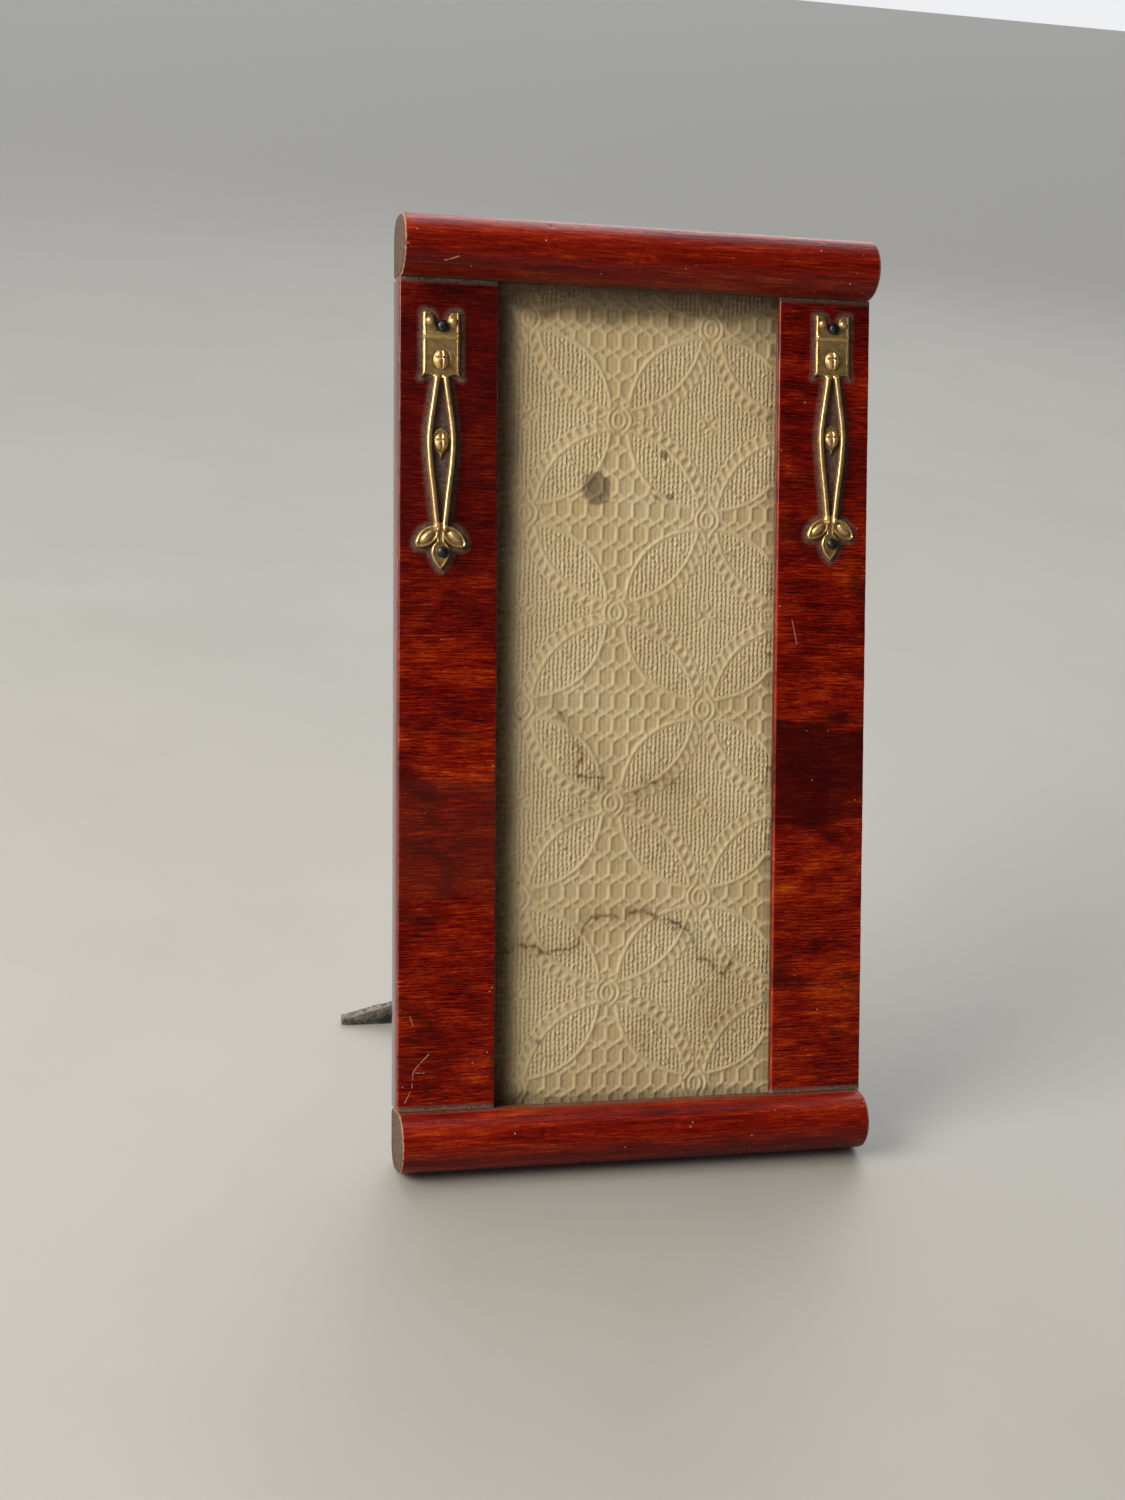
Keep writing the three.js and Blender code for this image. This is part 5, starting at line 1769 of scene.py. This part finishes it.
    def build(self, finishes: dict[str, Material]) -> None:
        """Makes the four layers."""
        lean = self.layout.lean
        deliver(self.paper().raised("embossed_paper_sheet", lean, finishes["embossed_paper"], 80), FRAME_BODY,
                "embossed_paper", "embossed_paper")
        for node, slot, step, wave in (
            ("glass_pane", "glass", 2.4, 0.05), ("backing_card", "backing_card", 2.0, 0.06),
            ("back_board", "back_board", 1.6, 0.06),
        ):
            layer = self.flat_layer(node, step, wave, 30 + int(step * 5))
            piece = layer.raised(node + "_sheet", lean, finishes[slot])
            deliver(piece, FRAME_BODY, slot, node)


@dataclass
class Mounts:
    """Both stamped mounts with the nails that pin them."""

    layout: Layout
    mounts: dict[Side, Mount]

    def build(self, brass: Material, iron: Material) -> None:
        """Makes the mounts and sets their nails."""
        seats_found = []
        nodes = []
        for side, mount in self.mounts.items():
            node = f"brass_mount_{side.value}"
            deliver(mount.draft().raised(node + "_pressed", self.layout.lean, brass, 60), FRAME_BODY,
                    "aged_brass", node)
            seats_found += mount.nails()
            nodes += [f"mount_nail_{tier.value}_{side.value}" for tier in Level]
        low, high = self.layout.box("mount_nail_upper_left")
        heads = Fastening(float(high[0] - low[0]) / 2, 0.85, front=True, wobble=3.1)
        deliver(heads.set("mount_nails", seats_found, self.layout.lean, iron), FRAME_BODY, "iron", *nodes)


def mounts_for(layout: Layout) -> dict[Side, Mount]:
    """The mounts at the places of their CAD nodes."""
    found = {}
    for side in Side:
        low, high = layout.box(f"brass_mount_{side.value}")
        nail_low, nail_high = layout.box(f"mount_nail_upper_{side.value}")
        centre = float(low[0] + high[0]) / 2
        found[side] = Mount(side, centre, float(nail_low[2] + nail_high[2]) / 2)
    return found


@dataclass
class TurnButtons:
    """Four brass turn-buttons and the slotted screws that they turn on."""

    layout: Layout
    pivot_round: float = 3.0
    tip_round: float = 2.0
    reach: float = 9.5
    hole: float = 1.3
    step: float = 0.22

    def distance(self, x: Grid, z: Grid) -> Grid:
        """Distance to a tapered lever's edge, with its screw hole."""
        share = np.clip(x / self.reach, 0, 1)
        radius = self.pivot_round + (self.tip_round - self.pivot_round) * share
        lever = np.hypot(x - share * self.reach, z) - radius
        return np.maximum(lever, self.hole - np.hypot(x, z))

    def draft(self, front: float, back: float) -> Draft:
        """One lever about its pivot, reaching along X, its edges rolled over."""

        def roll(x: Grid, z: Grid) -> Grid:
            """How far a face is rolled away at the edge."""
            edge = np.maximum(-self.distance(x, z), 0)
            return 0.22 * smooth(edge, 0.35, 0) + 0.02 * (1 + mottle(7, x, z))

        def worn(x: Grid, z: Grid) -> Grid:
            """Bright edges, pale with rubbed wear and a painted highlight."""
            return smooth(-self.distance(x, z), 0.5, 0.1)

        low = (-self.pivot_round, -self.pivot_round)
        high = (self.reach + self.tip_round, self.pivot_round)
        sheet = Sheet(self.distance, low, high, self.step)
        return sheet.draft(
            lambda x, z: front + roll(x, z), lambda x, z: back - roll(x, z),
            {"rub_and_highlight": worn, "hollow": lambda x, z: smooth(np.hypot(x, z), 3.0, 2.2)},
        )

    def build(self, brass: Material) -> None:
        """Makes the buttons, one for each body, and their screws."""
        screws, nodes = [], []
        for tier, side in product(Level, Side):
            place = f"{tier.value}_{side.value}"
            pivot = self.layout.pivot("turn_" + place)
            low, high = self.layout.box("turn_button_" + place)
            draft = self.draft(float(low[1]), float(high[1]))
            draft = draft.moved(float(pivot[0]), 0, float(pivot[2]), flip=side is Side.RIGHT)
            piece = draft.raised(f"turn_button_{place}_lever", self.layout.lean, brass, 50)
            deliver(piece, "button_" + place, "aged_brass", "turn_button_" + place)
            screws.append((float(pivot[0]), float(high[1]) + 0.05, float(pivot[2])))
            nodes.append("button_screw_" + place)
        low, high = self.layout.box(nodes[0])
        heads = Fastening(float(high[0] - low[0]) / 2, 1.15, front=False, slot=0.6, wobble=0.9, seed=8)
        deliver(heads.set("button_screws", screws, self.layout.lean, brass), FRAME_BODY, "aged_brass", *nodes)


@dataclass
class StrutHinge:
    """The brass hinge: a leaf rolled about its pin on the back board and one on the strut."""

    layout: Layout
    knuckle: float = 1.8
    sheet: float = 0.8
    middle_half: float = 4.2
    play: float = 0.3
    rivet_radius: float = 1.7

    def barrel(self, start: float, end: float) -> Draft:
        """One knuckle about the pin, its ends eased."""
        inner = self.knuckle - self.sheet
        ring = [*arc((0, 0), self.knuckle, -170, 170, 40), *arc((0, 0), inner, 170, -170, 30)]
        return bar_along_x(ring, start, end, 0.0)

    def plate(self, low: Pair, high: Pair, front: float, holes: Sequence[Pair]) -> Draft:
        """A flat leaf with rounded corners and rivet holes."""

        def edge(x: Grid, z: Grid) -> Grid:
            """Distance to the leaf's edge."""
            off = box_distance(x, z, low, high, 0.8)
            for hx, hz in holes:
                off = np.maximum(off, 0.9 - np.hypot(x - hx, z - hz))
            return off

        def roll(x: Grid, z: Grid) -> Grid:
            """How far a face is rolled away at the edge."""
            return 0.15 * smooth(np.maximum(-edge(x, z), 0), 0.3, 0) + 0.015 * (1 + mottle(17, x / 2, z / 2))

        # Pale rims along the leaf's edges: rubbed wear and a painted highlight.
        marks = {"rub_and_highlight": lambda x, z: smooth(-edge(x, z), 0.45, 0.05),
                 "hollow": lambda x, z: 0.5 + 0.5 * mottle(18, x / 4, z / 4)}
        return Sheet(edge, low, high, 0.3).draft(
            lambda x, z: front + roll(x, z), lambda x, z: front + self.sheet - roll(x, z), marks)

    def build(self, brass: Material) -> None:
        """Makes both leaves, the pin and the rivets."""
        lean, swing = self.layout.lean, self.layout.swing
        pin = self.layout.pivot("strut_swing")
        about_pin = Space(lean.point(*pin), lean.back, lean.up)
        low, high = self.layout.box("hinge_fixed_leaf", about_pin)
        half = float(high[0])
        rivets = [self.middle_of(f"hinge_rivet_{side.value}", about_pin) for side in Side]
        front = float(low[1])
        gap = self.middle_half + self.play
        leaf = self.plate((-half, self.knuckle + 0.3), (half, float(high[2])), front, rivets)
        for start, end in ((-half, -gap), (gap, half)):
            leaf = leaf.joined(self.barrel(start, end))
            leaf = leaf.joined(self.tongue(start, end, front, self.knuckle + 1.0))
        deliver(leaf.raised("hinge_fixed_leaf_rolled", about_pin, brass, 40), FRAME_BODY, "aged_brass",
                "hinge_fixed_leaf")
        pin_low, pin_high = self.layout.box("hinge_pin", about_pin)
        radius = float(pin_high[2] - pin_low[2]) / 2
        rod = bar_along_x(arc((0, 0), radius, 0, 348.75, 31), float(pin_low[0]), float(pin_high[0]), 0.25)
        deliver(rod.raised("hinge_pin_rod", about_pin, brass, 40), FRAME_BODY, "aged_brass", "hinge_pin")
        heads = Fastening(self.rivet_radius, 0.8, front=False, seed=12)
        seat = front + self.sheet
        deliver(heads.set("hinge_rivets", [(x, seat, z) for x, z in rivets], about_pin, brass), FRAME_BODY,
                "aged_brass", "hinge_rivet_left", "hinge_rivet_right")
        self.moving_leaf(swing, brass, heads)

    def tongue(self, start: float, end: float, front: float, top: float) -> Draft:
        """The bend that carries the fixed leaf into a knuckle."""
        section = [
            (front, top), (front, 0.6), *arc((0, 0), self.knuckle, 175, 178, 1),
            (-self.knuckle + 0.15, -0.1), (front + self.sheet + 0.3, 0.0),
            (front + self.sheet, self.knuckle * 0.7), (front + self.sheet, top),
        ]
        return bar_along_x([(max(y, front), z) for y, z in section], start, end, 0.0)

    def moving_leaf(self, space: Space, brass: Material, heads: Fastening) -> None:
        """The leaf riveted to the strut, with its heel above the pin."""
        low, high = self.layout.box("hinge_moving_leaf", space)
        half = float(high[0])
        rivets = [self.middle_of(f"strut_rivet_{side.value}", space) for side in Side]
        front = float(high[1]) - self.sheet
        leaf = self.plate((-half, float(low[2])), (half, -self.knuckle - self.play), front, rivets)
        neck = ((-self.middle_half, -self.knuckle - 1.2), (self.middle_half, float(high[2])))
        leaf = leaf.joined(self.plate(*neck, front, []))
        leaf = leaf.joined(self.barrel(-self.middle_half, self.middle_half))
        deliver(leaf.raised("hinge_moving_leaf_rolled", space, brass, 40), STRUT_BODY, "aged_brass",
                "hinge_moving_leaf")
        seat = float(high[1])
        deliver(heads.set("strut_rivets", [(x, seat, z) for x, z in rivets], space, brass), STRUT_BODY,
                "aged_brass", "strut_rivet_left", "strut_rivet_right")

    def middle_of(self, node: str, space: Space) -> Pair:
        """Where a rivet's axis meets its leaf."""
        low, high = self.layout.box(node, space)
        return (float(low[0] + high[0]) / 2, float(low[2] + high[2]) / 2)


@dataclass
class Strut:
    """The cloth-covered strut board that spreads into a foot a little wider than the frame."""

    layout: Layout
    top_half: float = 13.0
    waist_half: float = 17.0
    waist_rise: float = 24.0
    spread: Pair = (26.0, 10.0)
    tip_rise: float = 1.8
    step: float = 0.75
    fray: float = 0.35

    def outline(self, top: float, foot: float, foot_half: float) -> list[Pair]:
        """Half of the board's outline and its mirror."""
        waist = foot + self.waist_rise
        half = [
            (self.top_half - 1.5, top), (self.top_half, top - 1.5), (self.waist_half, waist),
            *curve((self.waist_half, waist), (self.spread[0], foot + self.spread[1]),
                   (foot_half, foot + self.tip_rise), 16)[1:],
            (foot_half, foot + self.tip_rise), (foot_half, foot - 2),
        ]
        return mirrored(half)

    def build(self, cloth: Material) -> None:
        """Makes the board with a frayed edge and its foot trimmed level."""
        space = self.layout.swing
        low, high = self.layout.box("strut_board", space)
        pin_height = space.origin.z / MM
        foot = -pin_height / space.up.z
        foot_half = float(high[0])
        points = self.outline(float(high[2]), foot, foot_half)

        def edge(x: Grid, z: Grid) -> Grid:
            """Distance to the board's worn edge."""
            plain = outline_distance(x, z, points)
            worn = self.fray * (0.5 + 0.5 * mottle(51, x / 1.4, z / 1.4)) * smooth(z, foot + 40, foot + 5)
            return plain + 0.02 + worn * smooth(np.abs(x), foot_half, foot_half - 0.8)

        def roll(x: Grid, z: Grid) -> Grid:
            """How far a face is rolled away at the edge, with the cloth's slight waves."""
            return 0.4 * smooth(np.maximum(-edge(x, z), 0), 1.0, 0) + 0.05 * (1 + mottle(52, x / 9, z / 12))

        def wear(x: Grid, z: Grid) -> Grid:
            """Where the cloth is rubbed to fibre."""
            near = smooth(-edge(x, z), 1.9, 0.3)
            tips = smooth(-edge(x, z), 4.0, 0.8) * smooth(np.abs(x), foot_half - 22, foot_half - 8)
            return np.clip(np.maximum(near, tips), 0, 1)

        sheet = Sheet(edge, (-foot_half, foot - 2.5), (foot_half, float(high[2])), self.step)
        draft = sheet.draft(
            lambda x, z: float(low[1]) + roll(x, z), lambda x, z: float(high[1]) - roll(x + 90, z),
            {"wear": wear},
        )
        placed = space.place(draft.points)
        below = np.maximum(-placed[:, 2] / MM, 0)
        draft.points[:, 2] += below / space.up.z
        piece = draft.raised("strut_board_covered", space, cloth, 50)
        deliver(piece, STRUT_BODY, "strut_cloth", "strut_board")


@dataclass
class Studio:
    """The plain floor, the soft lights and the camera."""

    layout: Layout
    eye: tuple[float, float, float] = (-125.17, -413.04, 109.35)
    forward: tuple[float, float, float] = (0.25332, 0.96626, -0.04647)
    right: tuple[float, float, float] = (0.96737, -0.25329, 0.00678)
    lens: float = 48.0
    floor_half: float = 14.0
    sky: Pair = (0.05, 1.0)

    def camera(self) -> None:
        """Places the camera from its eye and directions in the leaning space."""
        turn = self.layout.lean.turn
        ahead = (turn @ Vector(self.forward)).normalized()
        right = turn @ Vector(self.right)
        above = right.cross(ahead).normalized()
        right = ahead.cross(above)
        data = bpy.data.cameras.new("camera")
        data.lens = self.lens
        data.sensor_width = 36
        data.clip_start = 0.01
        camera = shown("camera", data)
        basis = Matrix((right, above, -ahead)).transposed()
        camera.matrix_world = Matrix.Translation(self.layout.lean.point(*self.eye)) @ basis.to_4x4()
        bpy.context.scene.camera = camera

    def lamp(self, name: str, place: Sequence[float], size: Pair, power: float, tint: str) -> None:
        """One soft rectangular light that faces the frame."""
        data = bpy.data.lights.new(name, "AREA")
        data.shape = "RECTANGLE"
        data.size, data.size_y = size
        data.energy = power
        data.color = ink(tint)[:3]
        light = shown(name, data)
        light.location = place
        aim = Vector((0, 0, 0.09)) - Vector(place)
        light.rotation_euler = aim.to_track_quat("-Z", "Y").to_euler()

    def build(self) -> None:
        """Makes the floor, the sky and the lights."""
        mesh = bpy.data.meshes.new("floor")
        h = self.floor_half
        mesh.from_pydata([(-h, -h, 0), (h, -h, 0), (h, h, 0), (-h, h, 0)], [], [(0, 1, 2, 3)])
        mesh.materials.append(BenchTop(self.layout.lean).material())
        shown("floor", mesh)
        world = bpy.data.worlds.new("studio")
        world.use_nodes = True
        tree = Tree(world.node_tree)
        sky = world.node_tree.nodes["Background"]
        sky.inputs["Color"].default_value = ink("eef0f2")
        ahead = tree.add("ShaderNodeSeparateXYZ", tree.add("ShaderNodeTexCoord").outputs["Generated"])
        soft = {"interpolation_type": "SMOOTHSTEP"}
        behind = tree.add("ShaderNodeMapRange", ahead.outputs["Y"], -0.3, 0.35, *self.sky, settings=soft)
        world.node_tree.links.new(behind.outputs[0], sky.inputs["Strength"])
        bpy.context.scene.world = world
        bpy.context.scene.view_settings.view_transform = "Standard"
        self.lamp("window", (-0.85, -0.22, 0.62), (0.6, 0.6), 19, "fffaf2")
        self.lamp("front_fill", (-0.95, -1.1, 0.32), (0.9, 0.9), 2, "f4f7ff")
        self.lamp("back_fill", (0.5, 0.9, 0.8), (0.8, 0.8), 4, "ffffff")
        data = bpy.data.lights.new("skylight", "SUN")
        data.energy = 1.0
        data.angle = math.radians(50)
        light = shown("skylight", data)
        light.rotation_euler = Vector((0.1, -0.5, -0.8)).to_track_quat("-Z", "Y").to_euler()


def main() -> None:
    """Builds the frame's sub-assemblies in order."""
    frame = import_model()
    lean = leaning_space(frame)
    layout = Layout(frame, lean, strut_space(frame, lean))
    Studio(layout).camera()
    low, high = layout.box("stile_veneer_right")
    foot, head = layout.box("bottom_rail")[1][2], layout.box("top_rail")[0][2]
    inner, outer = float(low[0]), float(high[0])
    brass = AgedBrass(lean).material()
    iron = DarkIron(lean).material()
    mounts = mounts_for(layout)
    Rails(layout).build(RailVarnish(lean, outer, float(foot), float(head)).material())
    Stiles(layout, mounts).build(
        CrossVeneer(lean, inner, outer, float(foot), float(head)).material(),
        StileTimber(lean, inner, outer).material(),
        PlainTimber(lean, "dowel_wood", "8a6238", "b98d5a", "d2ad7a").material(),
    )
    Panel(layout).build({
        "glass": PaneGlass(lean).material(),
        "embossed_paper": EmbossedPaper(lean).material(),
        "backing_card": PulpCard(lean).material(),
        "back_board": PlainTimber(lean, "back_board", "4a3018", "7a5530", "9a7346", 1.1).material(),
    })
    Mounts(layout, mounts).build(brass, iron)
    TurnButtons(layout).build(brass)
    StrutHinge(layout).build(brass)
    Strut(layout).build(StrutCloth(layout.swing).material())
    Studio(layout).build()


if __name__ == "__main__":
    logging.basicConfig(level=logging.INFO, format="%(message)s")
    main()
